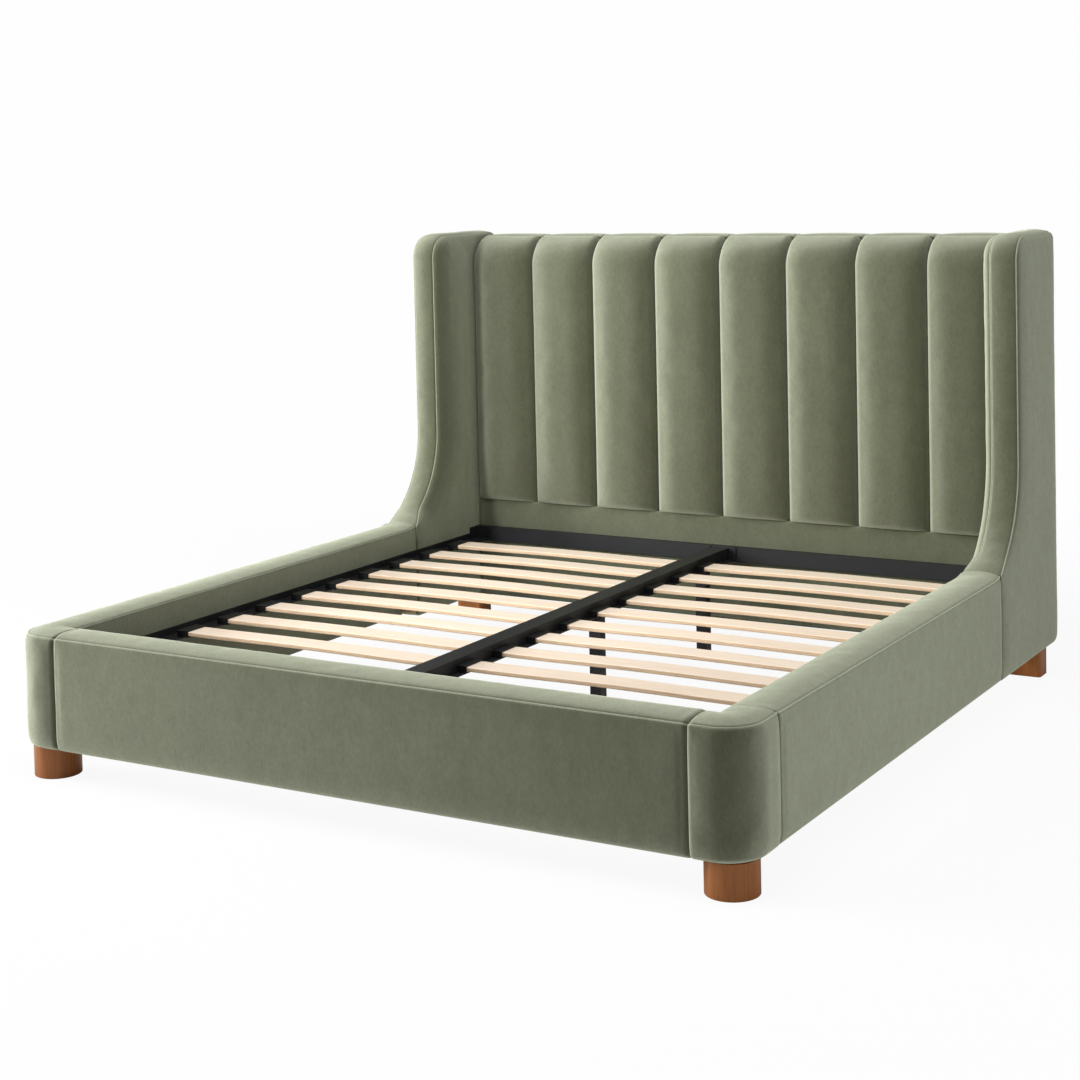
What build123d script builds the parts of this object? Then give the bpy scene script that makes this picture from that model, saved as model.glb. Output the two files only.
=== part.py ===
from build123d import *
import os
from math import asin, degrees, sqrt

# Upholstered wingback bed for one king size mattress.
# Padded side rails and a padded footboard ring the mattress, a headboard with upright
# channels stands between two wings, and a steel frame inside carries two columns of slats.
# X runs across the bed, Y from foot to head and Z up. The origin lies on the floor,
# midway between the two sides and midway between foot and head. Millimetres.

os.makedirs("parts", exist_ok=True)

# Driving dimensions
mattress_width = 1930
mattress_length = 2032
side_clearance = 1
end_clearance = 2
side_depth = 124
foot_depth = 118
headboard_depth = 186
floor_gap = 86
piping_height = 390
headboard_height = 1378
wing_height = 1388

bed_width = mattress_width + 2 * (side_clearance + side_depth)
bed_length = foot_depth + mattress_length + 2 * end_clearance + headboard_depth
half_width = bed_width / 2
foot_face = -bed_length / 2
head_face = bed_length / 2
inner_x = half_width - side_depth
inner_foot = foot_face + foot_depth
crown_face = inner_foot + mattress_length + 2 * end_clearance

# Upholstery of rails, footboard and corners
rail_crown = 12
pillow_bulge = 2
lower_edge_radius = 12
lining_rise = 52
deep_width = 60
outer_foam = 20
inner_foam = 6
roof_foam = 14
base_cloth = 6
seam_gap = 0.6
seam_radius = 8
front_seam_inset = 147
side_seam_run = 172
corner_radius = 95

lining_bottom = floor_gap + lining_rise
roof = piping_height - roof_foam
rail_top = piping_height + rail_crown
seam_x = half_width - front_seam_inset
side_seam = foot_face + side_seam_run

# Wings
wing_run = 570
wing_upper_run = 375
wing_sweep_radius = 335
wing_top_radius = 85
wing_back_radius = 16
wing_heel_radius = 35
wing_inner_round = 26
wing_outer_round = 9
wing_foam = 25
wing_board = 30
wing_board_inset = 25
wing_beam_height = 58

wing_seam = head_face - wing_run
wing_front = head_face - wing_upper_run
wing_step = wing_front - wing_seam
sweep_drop = sqrt(wing_sweep_radius**2 - (wing_sweep_radius - wing_step) ** 2)
sweep_top = rail_top + sweep_drop
sweep_centre_y = wing_front - wing_sweep_radius
sweep_angle = degrees(asin(sweep_drop / wing_sweep_radius))

# Headboard
channel_count = 8
channel_side = 16
channel_crown = 26
channel_bottom = 432
channel_end_radius = 10
roll_radius = 80
back_panel_thickness = 20
back_panel_radius = 8
headboard_ply = 9
headboard_stile = 28
pocket_columns = 4
pocket_rows = 2

channel_depth = channel_side + channel_crown
ply_face = crown_face + channel_depth
clear_width = mattress_width + 2 * side_clearance
channel_pitch = clear_width / channel_count
roll_centre_z = headboard_height - channel_depth - roll_radius
roll_centre_y = ply_face + roll_radius
frame_top = roll_centre_z + roll_radius
frame_back = head_face - back_panel_thickness
band_face = ply_face - channel_side

# Timber frames
board = 18
end_block = 45
frame_base = floor_gap + base_cloth

# Steel frame
steel = 3
ledge_top = 296
ledge_width = 60
upright_rise = 20
cross_rail_depth = 25
head_rail_top = 336
head_rail_height = 50
foot_rail_top = 316
foot_rail_height = 40
spine_width = 60
spine_height = 50
spine_top = 332
spine_wing = 20
bracket = 4
bracket_leg = 45
angle_leg = 26

foot_rail_back = inner_foot + cross_rail_depth
head_rail_front = band_face - cross_rail_depth
spine_bottom = spine_top - spine_height
steel_length = head_rail_front - foot_rail_back

# Slats and their holders
slat_rows = 10
slat_end_run = 202.75
slat_width = 76
slat_thickness = 12
slat_bow = 3
slat_flat_end = 30
slat_edge_radius = 3
holder_floor = 4
holder_wall = 3
holder_roof = 2.5
rail_holder_start = 40
rail_holder_length = 38
spine_holder_length = 28
slat_end_gap = 2
slide_clearance = 0.3

slat_bottom = ledge_top + holder_floor
slat_inner_end = spine_width / 2 + slide_clearance + holder_wall + slat_end_gap
rail_holder_back = inner_x - rail_holder_start
rail_holder_mouth = rail_holder_back - rail_holder_length
holder_pocket = 33
slat_outer_end = rail_holder_mouth + holder_pocket
holder_height = holder_floor + slat_thickness + 2 * slide_clearance + holder_roof
holder_width = slat_width + 2 * (slide_clearance + holder_wall)
slat_pitch = (steel_length - 2 * slat_end_run) / (slat_rows - 1)
first_slat_y = foot_rail_back + slat_end_run

# Centre legs and their screw glides
leg_size = 36
leg_wall = 2.5
leg_plate_width = 70
leg_plate_length = 80
leg_plug = 25
leg_end_run = 133
leg_pitch = 722
leg_count = 2
glide_disc_radius = 17
glide_disc_height = 8
glide_stem_radius = 5
glide_stem_length = 50
glide_edge_radius = 1.5
leg_bottom = glide_disc_height + slide_clearance

# Wooden feet
front_foot_radius = 64
front_foot_inset_x = 78
front_foot_inset_y = 78
rear_foot_width = 105
rear_foot_depth = 74
rear_foot_inset_x = 14
rear_foot_inset_y = 78
rear_foot_round = 12
foot_edge = 2

front_foot_x = half_width - front_foot_inset_x
front_foot_y = foot_face + front_foot_inset_y
rear_foot_x = half_width - rear_foot_inset_x - rear_foot_width / 2
rear_foot_y = head_face - rear_foot_inset_y - rear_foot_depth / 2

# Fasteners
hole_clearance = 0.2
hanger_radius = 5
hanger_reach = 30
bolt_end_gap = 1
bolt_radius = 4
bolt_head_radius = 7
bolt_head_height = 5
bolt_length = 80
rail_bolt_heights = (190, 300)
wing_bolt_length = 128
wing_bolt_rise_shares = (0.15, 0.5, 0.85)
screw_radius = 3
screw_head_radius = 6
screw_head_height = 3
screw_length = 20
screw_count = 4
screw_height = 306

# Places of the fasteners
rail_bolt_x = half_width - outer_foam - (side_depth - outer_foam - inner_foam) / 2
wing_bolt_y = (ply_face + headboard_ply + frame_back) / 2
wing_bolt_heights = [frame_base + s * (frame_top - frame_base) for s in wing_bolt_rise_shares]
wing_bolt_bite = wing_bolt_length - side_depth + outer_foam
screw_pitch = (wing_seam - side_seam) / screw_count
screw_spots = [(side_seam + (i + 1 / 2) * screw_pitch, screw_height) for i in range(screw_count)]

# Places of the slats, holders, legs and cross rails
slat_rows_y = [first_slat_y + i * slat_pitch for i in range(slat_rows)]
last_leg_y = head_rail_front - leg_end_run
leg_rows_y = [last_leg_y - i * leg_pitch for i in reversed(range(leg_count))]
slat_quarter = (slat_outer_end - slat_inner_end - 2 * slat_flat_end) / 4
slat_arc_share = 1 / 4
spine_holder_start = spine_width / 2 + slide_clearance
holder_spans = (
    (rail_holder_mouth, rail_holder_length),
    (spine_holder_start, spine_holder_length),
)
pocket_spans = (
    (rail_holder_mouth, holder_pocket + slat_end_gap),
    (spine_holder_start + holder_wall, spine_holder_length - holder_wall),
)
cross_rails = (
    ("steel_foot_rail", inner_foot, foot_rail_top, foot_rail_height),
    ("steel_head_rail", head_rail_front, head_rail_top, head_rail_height),
)
pocket_pitch_x = (clear_width - headboard_stile) / pocket_columns
pocket_pitch_z = (frame_top - frame_base - headboard_stile) / pocket_rows

# Seats of the bolts on the right side: the plane under each head, facing along the shank
bolt_seats = [
    (Plane(origin=(rail_bolt_x, wing_seam - end_block, z), z_dir=(0, 1, 0)), bolt_length)
    for z in rail_bolt_heights
]
bolt_seats += [
    (
        Plane(
            origin=(inner_x + inner_foam - end_block, foot_face + foot_depth / 2, z),
            z_dir=(1, 0, 0),
        ),
        bolt_length,
    )
    for z in rail_bolt_heights
]
bolt_seats += [
    (Plane(origin=(half_width - outer_foam, wing_bolt_y, z), z_dir=(-1, 0, 0)), wing_bolt_length)
    for z in wing_bolt_heights
]

# One overrun for every cut
overrun = 5


def finish(piece, name):
    """Label a finished piece and write it as its own file."""
    piece.part.label = name
    export_step(piece.part, f"parts/{name}.step")


def mirrored(piece):
    """The same piece on the other side of the bed."""
    with BuildPart() as twin:
        mirror(piece.part, about=Plane.YZ)
    return twin


def across(x):
    """Plane that faces along the bed's width: its x is the bed's Y, its y the bed's Z."""
    return Plane(origin=(x, 0, 0), x_dir=(0, 1, 0), z_dir=(1, 0, 0))


def along(y):
    """Plane that faces along the bed's length: its x runs from right to left, its y is up."""
    return Plane(origin=(0, y, 0), x_dir=(-1, 0, 0), z_dir=(0, 1, 0))


def from_front(x):
    """Plane at the footboard: its x runs from the front face towards the head, its y is up."""
    return Plane(origin=(x, foot_face, 0), x_dir=(0, 1, 0), z_dir=(1, 0, 0))


def from_side(y):
    """Plane at the right side: its x runs from the outer face inward, its y is up."""
    return Plane(origin=(half_width, y, 0), x_dir=(-1, 0, 0), z_dir=(0, 1, 0))


def plan_of(plane):
    """Level plane with the same x as an upright one; its y runs along the piece."""
    return Plane(origin=plane.origin, x_dir=plane.x_dir, z_dir=(0, 0, -1))


def cavity_outline(depth):
    """Hollow of a padded edge, drawn in the open line."""
    back = depth - inner_foam
    step = deep_width - base_cloth
    Polyline(
        (outer_foam, frame_base),
        (outer_foam, roof),
        (back, roof),
        (back, lining_bottom + base_cloth),
        (step, lining_bottom + base_cloth),
        (step, frame_base),
        close=True,
    )


def timber_outline(depth):
    """Two boards under a top board, drawn in the open line."""
    back = depth - inner_foam
    Polyline(
        (outer_foam, frame_base),
        (outer_foam, roof),
        (back, roof),
        (back, lining_bottom + base_cloth),
        (back - board, lining_bottom + base_cloth),
        (back - board, roof - board),
        (outer_foam + board, roof - board),
        (outer_foam + board, frame_base),
        close=True,
    )


def wing_outline():
    """Side view of a wing, drawn in the open line with plain rear corners."""
    seam_head = (wing_seam, rail_top)
    front_low = (wing_front, sweep_top)
    front_high = (wing_front, wing_height - wing_top_radius)
    top_front = (wing_front + wing_top_radius, wing_height)
    top_centre = (wing_front + wing_top_radius, wing_height - wing_top_radius)
    CenterArc((sweep_centre_y, sweep_top), wing_sweep_radius, -sweep_angle, sweep_angle)
    Line(front_low, front_high)
    CenterArc(top_centre, wing_top_radius, 90, 90)
    Polyline(
        top_front,
        (head_face, wing_height),
        (head_face, floor_gap),
        (wing_seam, floor_gap),
        seam_head,
    )


# Padded edge of constant section, hollow for its timber frame
def edge_pad(plane, length, depth):
    mid_height = (floor_gap + piping_height) / 2
    outer_piping = (pillow_bulge, piping_height)
    inner_piping = (depth, piping_height)
    heel = (pillow_bulge, floor_gap)
    with BuildPart() as pad:
        with BuildSketch(plane):
            with BuildLine():
                ThreePointArc(heel, (0, mid_height), outer_piping)
                ThreePointArc(outer_piping, (depth / 2, rail_top), inner_piping)
                Polyline(
                    inner_piping,
                    (depth, lining_bottom),
                    (deep_width, lining_bottom),
                    (deep_width, floor_gap),
                    heel,
                )
            make_face()
            with BuildLine():
                cavity_outline(depth)
            make_face(mode=Mode.SUBTRACT)
        extrude(amount=length)
        with BuildSketch(plan_of(plane)) as plan:
            Rectangle(depth, length, align=(Align.MIN, Align.MIN))
            fillet(plan.vertices().group_by(Axis.X)[0], seam_radius)
        extrude(amount=-rail_top - overrun, mode=Mode.INTERSECT)
        with BuildSketch(plane) as section:
            with Locations((0, floor_gap)):
                Rectangle(depth, rail_top, align=(Align.MIN, Align.MIN))
            fillet(section.vertices().group_by(Axis.X)[0].group_by(Axis.Y)[0], lower_edge_radius)
        extrude(amount=length, mode=Mode.INTERSECT)
    return pad


# Footboard
foot_length = 2 * seam_x - seam_gap
footboard_pad = edge_pad(from_front(-foot_length / 2), foot_length, foot_depth)
finish(footboard_pad, "footboard_pad")

# Side rails
rail_start = side_seam + seam_gap / 2
rail_length = wing_seam - side_seam - seam_gap
plain_rail = edge_pad(from_side(rail_start), rail_length, side_depth)
with BuildPart() as side_rail_pad_right:
    add(plain_rail.part)
    with BuildSketch(across(inner_x)):
        with Locations(*screw_spots):
            Circle(screw_radius + hole_clearance)
    extrude(amount=inner_foam, mode=Mode.SUBTRACT)
finish(side_rail_pad_right, "side_rail_pad_right")
finish(mirrored(side_rail_pad_right), "side_rail_pad_left")

# Front corners
with BuildPart() as front_corner_pad_right:
    with BuildSketch(Plane.XY.offset(floor_gap)) as corner_plan:
        with BuildLine():
            Polyline(
                (seam_x + seam_gap / 2, foot_face),
                (half_width, foot_face),
                (half_width, side_seam - seam_gap / 2),
                (inner_x, side_seam - seam_gap / 2),
                (inner_x, inner_foot),
                (seam_x + seam_gap / 2, inner_foot),
                close=True,
            )
        make_face()
        outer_corner = corner_plan.vertices().group_by(Axis.X)[-1].group_by(Axis.Y)[0]
        fillet(outer_corner, corner_radius)
    extrude(amount=rail_top - floor_gap)
    upper = front_corner_pad_right.faces().sort_by(Axis.Z)[-1].edges()
    lower = front_corner_pad_right.faces().sort_by(Axis.Z)[0].edges()
    facing = lambda e: e.center().Y < foot_face + deep_width or e.center().X > half_width - deep_width
    seam = lambda e: e.length > foot_depth - deep_width and abs(e.center().X - seam_x) < seam_radius
    side_end = lambda e: abs(e.center().Y - side_seam) < seam_radius
    rim = lambda e: facing(e) and not seam(e) and not side_end(e)
    fillet(upper.filter_by(rim) + lower.filter_by(rim), rail_crown)
    with BuildSketch(Plane.XY.offset(floor_gap)) as pillow_plan:
        with BuildLine():
            Polyline(
                (seam_x + seam_gap / 2, foot_face),
                (half_width, foot_face),
                (half_width, side_seam - seam_gap / 2),
                (inner_x, side_seam - seam_gap / 2),
                (seam_x + seam_gap / 2, inner_foot + overrun),
                close=True,
            )
        make_face()
        left_front = pillow_plan.vertices().group_by(Axis.X)[0].group_by(Axis.Y)[0]
        right_rear = pillow_plan.vertices().group_by(Axis.X)[-1].group_by(Axis.Y)[-1]
        fillet(left_front + right_rear, seam_radius)
    extrude(amount=rail_top, mode=Mode.INTERSECT)
    with BuildSketch(Plane.XY.offset(frame_base)) as hollow_plan:
        with BuildLine():
            Polyline(
                (seam_x - overrun, foot_face + outer_foam),
                (half_width - outer_foam, foot_face + outer_foam),
                (half_width - outer_foam, side_seam + overrun),
                (inner_x + inner_foam, side_seam + overrun),
                (inner_x + inner_foam, inner_foot - inner_foam),
                (seam_x - overrun, inner_foot - inner_foam),
                close=True,
            )
        make_face()
        hollow_corner = hollow_plan.vertices().group_by(Axis.X)[-1].group_by(Axis.Y)[0]
        fillet(hollow_corner, corner_radius - outer_foam)
    extrude(amount=roof - frame_base, mode=Mode.SUBTRACT)
    with BuildSketch(Plane.XY.offset(floor_gap)):
        with Locations((front_foot_x, front_foot_y)):
            Circle(hanger_radius + hole_clearance)
    extrude(amount=base_cloth, mode=Mode.SUBTRACT)
finish(front_corner_pad_right, "front_corner_pad_right")
finish(mirrored(front_corner_pad_right), "front_corner_pad_left")

# Timber frame of the footboard, with a solid block at each end
block_face = inner_x + inner_foam
with BuildPart() as footboard_frame:
    with BuildSketch(from_front(-block_face)):
        with BuildLine():
            timber_outline(foot_depth)
        make_face()
    extrude(amount=2 * block_face)
    with BuildSketch(from_front(-block_face), from_front(block_face - end_block)):
        with BuildLine():
            cavity_outline(foot_depth)
        make_face()
    extrude(amount=end_block)
    with BuildSketch(across(-block_face)):
        with Locations(*[(foot_face + foot_depth / 2, z) for z in rail_bolt_heights]):
            Circle(bolt_radius + hole_clearance)
    extrude(amount=2 * block_face, mode=Mode.SUBTRACT)
finish(footboard_frame, "footboard_frame")

# Timber frame of a side rail, with a solid block over the front foot and one at the wing
with BuildPart() as side_rail_frame_right:
    with BuildSketch(from_side(foot_face + outer_foam)):
        with BuildLine():
            timber_outline(side_depth)
        make_face()
    extrude(amount=wing_seam - foot_face - outer_foam)
    with BuildSketch(from_side(wing_seam - end_block)):
        with BuildLine():
            cavity_outline(side_depth)
        make_face()
    extrude(amount=end_block)
    with BuildSketch(from_side(foot_face + outer_foam)):
        with Locations((outer_foam, frame_base)):
            Rectangle(
                side_depth - outer_foam - inner_foam,
                roof - frame_base,
                align=(Align.MIN, Align.MIN),
            )
    extrude(amount=foot_depth - outer_foam - inner_foam)
    with BuildSketch(Plane.XY.offset(frame_base)) as timber_plan:
        with Locations((half_width - outer_foam, foot_face + outer_foam)):
            Rectangle(side_depth, bed_length, align=(Align.MAX, Align.MIN))
        timber_corner = timber_plan.vertices().group_by(Axis.X)[-1].group_by(Axis.Y)[0]
        fillet(timber_corner, corner_radius - outer_foam)
    extrude(amount=roof, mode=Mode.INTERSECT)
    with BuildSketch(along(wing_seam - end_block)):
        with Locations(*[(-rail_bolt_x, z) for z in rail_bolt_heights]):
            Circle(bolt_radius + hole_clearance)
    extrude(amount=end_block, mode=Mode.SUBTRACT)
    with BuildSketch(across(block_face)):
        with Locations(*[(foot_face + foot_depth / 2, z) for z in rail_bolt_heights]):
            Circle(bolt_radius + hole_clearance)
    extrude(amount=bolt_length - end_block + bolt_end_gap, mode=Mode.SUBTRACT)
    with BuildSketch(Plane.XY.offset(frame_base)):
        with Locations((front_foot_x, front_foot_y)):
            Circle(hanger_radius + hole_clearance)
    extrude(amount=hanger_reach + bolt_end_gap, mode=Mode.SUBTRACT)
    with BuildSketch(across(block_face)):
        with Locations(*screw_spots):
            Circle(screw_radius + hole_clearance)
    extrude(amount=board, mode=Mode.SUBTRACT)
finish(side_rail_frame_right, "side_rail_frame_right")
finish(mirrored(side_rail_frame_right), "side_rail_frame_left")

# Timber core of a wing: a shaped board on a low beam, with a post at the rail
board_face = half_width - outer_foam
with BuildPart() as wing_core:
    with BuildSketch(across(board_face - wing_board)):
        with BuildLine():
            wing_outline()
        make_face()
        offset(amount=-wing_board_inset, kind=Kind.INTERSECTION, mode=Mode.REPLACE)
    extrude(amount=wing_board)
    with BuildSketch(across(block_face)):
        with Locations((wing_seam, frame_base)):
            Rectangle(end_block, roof - frame_base, align=(Align.MIN, Align.MIN))
            Rectangle(wing_run - wing_board_inset, wing_beam_height, align=(Align.MIN, Align.MIN))
    extrude(amount=board_face - block_face)

# Wings
with BuildPart() as wing_pad_right:
    with BuildSketch(across(inner_x)):
        with BuildLine():
            wing_outline()
        make_face()
    extrude(amount=side_depth)
    above_rail = lambda e: e.center().Z > rail_top + overrun and e.center().Y < head_face - overrun
    fillet(wing_pad_right.faces().sort_by(Axis.X)[0].edges().filter_by(above_rail), wing_inner_round)
    fillet(wing_pad_right.faces().sort_by(Axis.X)[-1].edges().filter_by(above_rail), wing_outer_round)
    with BuildSketch(plan_of(from_side(wing_seam))) as wing_plan:
        Rectangle(side_depth, wing_run, align=(Align.MIN, Align.MIN))
        outer_side = wing_plan.vertices().group_by(Axis.X)[0].sort_by(Axis.Y)
        fillet(outer_side[0], seam_radius)
        fillet(outer_side[-1], wing_back_radius)
    extrude(amount=-wing_height - overrun, mode=Mode.INTERSECT)
    with BuildSketch(across(inner_x)) as wing_side:
        with Locations((wing_seam, floor_gap)):
            Rectangle(wing_run, wing_height - floor_gap, align=(Align.MIN, Align.MIN))
        rear = wing_side.vertices().group_by(Axis.X)[-1].sort_by(Axis.Y)
        fillet(rear[0], wing_heel_radius)
        fillet(rear[-1], wing_back_radius)
    extrude(amount=side_depth, mode=Mode.INTERSECT)
    add(wing_core.part, mode=Mode.SUBTRACT)
    with BuildSketch(across(inner_x)):
        with Locations(*[(wing_bolt_y, z) for z in wing_bolt_heights]):
            Circle(bolt_radius + hole_clearance)
    extrude(amount=side_depth - outer_foam, mode=Mode.SUBTRACT)
    with BuildSketch(across(board_face)):
        with Locations(*[(wing_bolt_y, z) for z in wing_bolt_heights]):
            Circle(bolt_head_radius + hole_clearance)
    extrude(amount=bolt_head_height + hole_clearance, mode=Mode.SUBTRACT)
    with BuildSketch(Plane.XY.offset(floor_gap)):
        with Locations((rear_foot_x, rear_foot_y)):
            Circle(hanger_radius + hole_clearance)
    extrude(amount=base_cloth, mode=Mode.SUBTRACT)
finish(wing_pad_right, "wing_pad_right")
finish(mirrored(wing_pad_right), "wing_pad_left")

with BuildPart() as wing_frame_right:
    add(wing_core.part)
    with BuildSketch(across(board_face - wing_board)):
        with Locations(*[(wing_bolt_y, z) for z in wing_bolt_heights]):
            Circle(bolt_radius + hole_clearance)
    extrude(amount=wing_board, mode=Mode.SUBTRACT)
    with BuildSketch(along(wing_seam)):
        with Locations(*[(-rail_bolt_x, z) for z in rail_bolt_heights]):
            Circle(bolt_radius + hole_clearance)
    extrude(amount=bolt_length - end_block + bolt_end_gap, mode=Mode.SUBTRACT)
    with BuildSketch(Plane.XY.offset(frame_base)):
        with Locations((rear_foot_x, rear_foot_y)):
            Circle(hanger_radius + hole_clearance)
    extrude(amount=hanger_reach + bolt_end_gap, mode=Mode.SUBTRACT)
finish(wing_frame_right, "wing_frame_right")
finish(mirrored(wing_frame_right), "wing_frame_left")

# Upright channels of the headboard, rolled back over its top edge
for i in range(channel_count):
    left = -inner_x + i * channel_pitch + seam_gap / 2
    right = left + channel_pitch - seam_gap
    with BuildPart() as channel:
        with BuildSketch(Plane.XY.offset(channel_bottom)):
            with BuildLine():
                ThreePointArc((left, band_face), ((left + right) / 2, crown_face), (right, band_face))
                Polyline((right, band_face), (right, ply_face), (left, ply_face), (left, band_face))
            make_face()
        extrude(amount=roll_centre_z - channel_bottom)
        with BuildSketch(across(left)) as side_view:
            with Locations((crown_face, channel_bottom)):
                Rectangle(channel_depth, headboard_height, align=(Align.MIN, Align.MIN))
            fillet(side_view.vertices().group_by(Axis.X)[0].group_by(Axis.Y)[0], channel_end_radius)
        extrude(amount=channel_pitch, mode=Mode.INTERSECT)
        revolve(
            channel.faces().sort_by(Axis.Z)[-1],
            axis=Axis((0, roll_centre_y, roll_centre_z), (-1, 0, 0)),
            revolution_arc=90,
        )
    finish(channel, f"headboard_channel_{i + 1}")

# Plain band below the channels
with BuildPart() as headboard_lower_band:
    with BuildSketch(across(-inner_x + seam_gap / 2)) as band_side:
        with Locations((band_face, frame_base)):
            Rectangle(channel_side, channel_bottom - frame_base - seam_gap, align=(Align.MIN, Align.MIN))
        fillet(band_side.vertices().group_by(Axis.X)[0], back_panel_radius)
    extrude(amount=clear_width - seam_gap)
finish(headboard_lower_band, "headboard_lower_band")

# Timber frame of the headboard, open pockets towards the back panel
with BuildPart() as headboard_frame:
    with BuildSketch(across(-inner_x)):
        with BuildLine():
            CenterArc((roll_centre_y, roll_centre_z), roll_radius, 90, 90)
            Polyline(
                (ply_face, roll_centre_z),
                (ply_face, frame_base),
                (frame_back, frame_base),
                (frame_back, frame_top),
                (roll_centre_y, frame_top),
            )
        make_face()
    extrude(amount=clear_width)
    with BuildSketch(along(frame_back)):
        with Locations((0, (frame_base + frame_top) / 2)):
            with GridLocations(pocket_pitch_x, pocket_pitch_z, pocket_columns, pocket_rows):
                Rectangle(pocket_pitch_x - headboard_stile, pocket_pitch_z - headboard_stile)
    extrude(amount=-(frame_back - ply_face - headboard_ply), mode=Mode.SUBTRACT)
    with BuildSketch(across(inner_x), across(-inner_x)):
        with Locations(*[(wing_bolt_y, z) for z in wing_bolt_heights]):
            Circle(bolt_radius + hole_clearance)
    extrude(amount=wing_bolt_bite + bolt_end_gap, both=True, mode=Mode.SUBTRACT)
finish(headboard_frame, "headboard_frame")

# Back panel of the headboard, with its cap over the top and a strip under the frame
with BuildPart() as headboard_back_panel:
    with BuildSketch(across(-inner_x + seam_gap / 2)) as panel_side:
        with BuildLine():
            Polyline(
                (roll_centre_y + seam_gap, frame_top),
                (roll_centre_y + seam_gap, headboard_height),
                (head_face, headboard_height),
                (head_face, floor_gap),
                (band_face, floor_gap),
                (band_face, frame_base),
                (frame_back, frame_base),
                (frame_back, frame_top),
                close=True,
            )
        make_face()
        rounded = panel_side.vertices().group_by(Axis.Y)
        fillet(rounded[-1], back_panel_radius)
        fillet(panel_side.vertices().group_by(Axis.Y)[0].sort_by(Axis.X)[-1], back_panel_radius)
    extrude(amount=clear_width - seam_gap)
finish(headboard_back_panel, "headboard_back_panel")

# Steel rails around the slats
with BuildPart() as steel_side_rail_right:
    with BuildSketch(along(foot_rail_back)):
        with BuildLine():
            Polyline(
                (-inner_x, ledge_top - steel),
                (-inner_x, ledge_top + upright_rise),
                (-inner_x + steel, ledge_top + upright_rise),
                (-inner_x + steel, ledge_top),
                (-inner_x + ledge_width, ledge_top),
                (-inner_x + ledge_width, ledge_top - steel),
                close=True,
            )
        make_face()
    extrude(amount=steel_length)
    with BuildSketch(across(inner_x - steel)):
        with Locations(*screw_spots):
            Circle(screw_radius + hole_clearance)
    extrude(amount=steel, mode=Mode.SUBTRACT)
finish(steel_side_rail_right, "steel_side_rail_right")
finish(mirrored(steel_side_rail_right), "steel_side_rail_left")

for name, front, top, height in cross_rails:
    with BuildPart() as cross_rail:
        with BuildSketch(across(-inner_x)):
            with Locations((front, top - height)):
                Rectangle(cross_rail_depth, height, align=(Align.MIN, Align.MIN))
            with Locations((front + steel, top - height + steel)):
                Rectangle(
                    cross_rail_depth - 2 * steel,
                    height - 2 * steel,
                    align=(Align.MIN, Align.MIN),
                    mode=Mode.SUBTRACT,
                )
        extrude(amount=clear_width)
    finish(cross_rail, name)

# Centre beam: a square tube with a low ledge on each side
with BuildPart() as centre_beam:
    with BuildSketch(along(foot_rail_back)):
        with Locations((0, spine_bottom)):
            Rectangle(spine_width, spine_height, align=(Align.CENTER, Align.MIN))
        with Locations((0, ledge_top - steel)):
            Rectangle(spine_width + 2 * spine_wing, steel, align=(Align.CENTER, Align.MIN))
        with Locations((0, spine_bottom + steel)):
            Rectangle(
                spine_width - 2 * steel,
                spine_height - 2 * steel,
                align=(Align.CENTER, Align.MIN),
                mode=Mode.SUBTRACT,
            )
    extrude(amount=steel_length)
finish(centre_beam, "centre_beam")

# Brackets: four corner angles, and an angle on each side of the centre beam at both ends
with BuildPart() as steel_brackets:
    for face, inward, top in ((head_rail_front, -1, head_rail_top), (foot_rail_back, 1, foot_rail_top)):
        for side in (-1, 1):
            with BuildSketch(Plane.XY.offset(ledge_top)):
                with BuildLine():
                    Polyline(
                        (side * (inner_x - steel), face),
                        (side * (inner_x - steel), face + inward * bracket_leg),
                        (side * (inner_x - steel - bracket), face + inward * bracket_leg),
                        (side * (inner_x - steel - bracket), face + inward * bracket),
                        (side * (inner_x - steel - bracket_leg), face + inward * bracket),
                        (side * (inner_x - steel - bracket_leg), face),
                        close=True,
                    )
                make_face()
            extrude(amount=top - ledge_top)
        with BuildSketch(along(face)):
            with Locations((0, ledge_top)):
                Rectangle(
                    spine_width + 2 * bracket,
                    spine_top - ledge_top,
                    align=(Align.CENTER, Align.MIN),
                )
                Rectangle(
                    spine_width,
                    spine_top - ledge_top,
                    align=(Align.CENTER, Align.MIN),
                    mode=Mode.SUBTRACT,
                )
        extrude(amount=inward * bracket_leg)
        with BuildSketch(along(face)):
            for side in (-1, 1):
                with Locations((side * (spine_width / 2 + bracket + angle_leg / 2), ledge_top)):
                    Rectangle(angle_leg, top - ledge_top, align=(Align.CENTER, Align.MIN))
        extrude(amount=inward * bracket)
finish(steel_brackets, "steel_brackets")

# Slat holders, one cap on each end of every slat
with BuildPart() as slat_holders:
    for start, run in holder_spans:
        with BuildSketch(across(start)):
            with Locations(*[(y, ledge_top) for y in slat_rows_y]):
                Rectangle(holder_width, holder_height, align=(Align.CENTER, Align.MIN))
        extrude(amount=run)
    for start, run in pocket_spans:
        with BuildSketch(across(start)):
            with Locations(*[(y, slat_bottom) for y in slat_rows_y]):
                Rectangle(
                    slat_width + 2 * slide_clearance,
                    slat_thickness + 2 * slide_clearance,
                    align=(Align.CENTER, Align.MIN),
                )
        extrude(amount=run, mode=Mode.SUBTRACT)
    mirror(slat_holders.part, about=Plane.YZ)
finish(slat_holders, "slat_holders")


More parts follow.
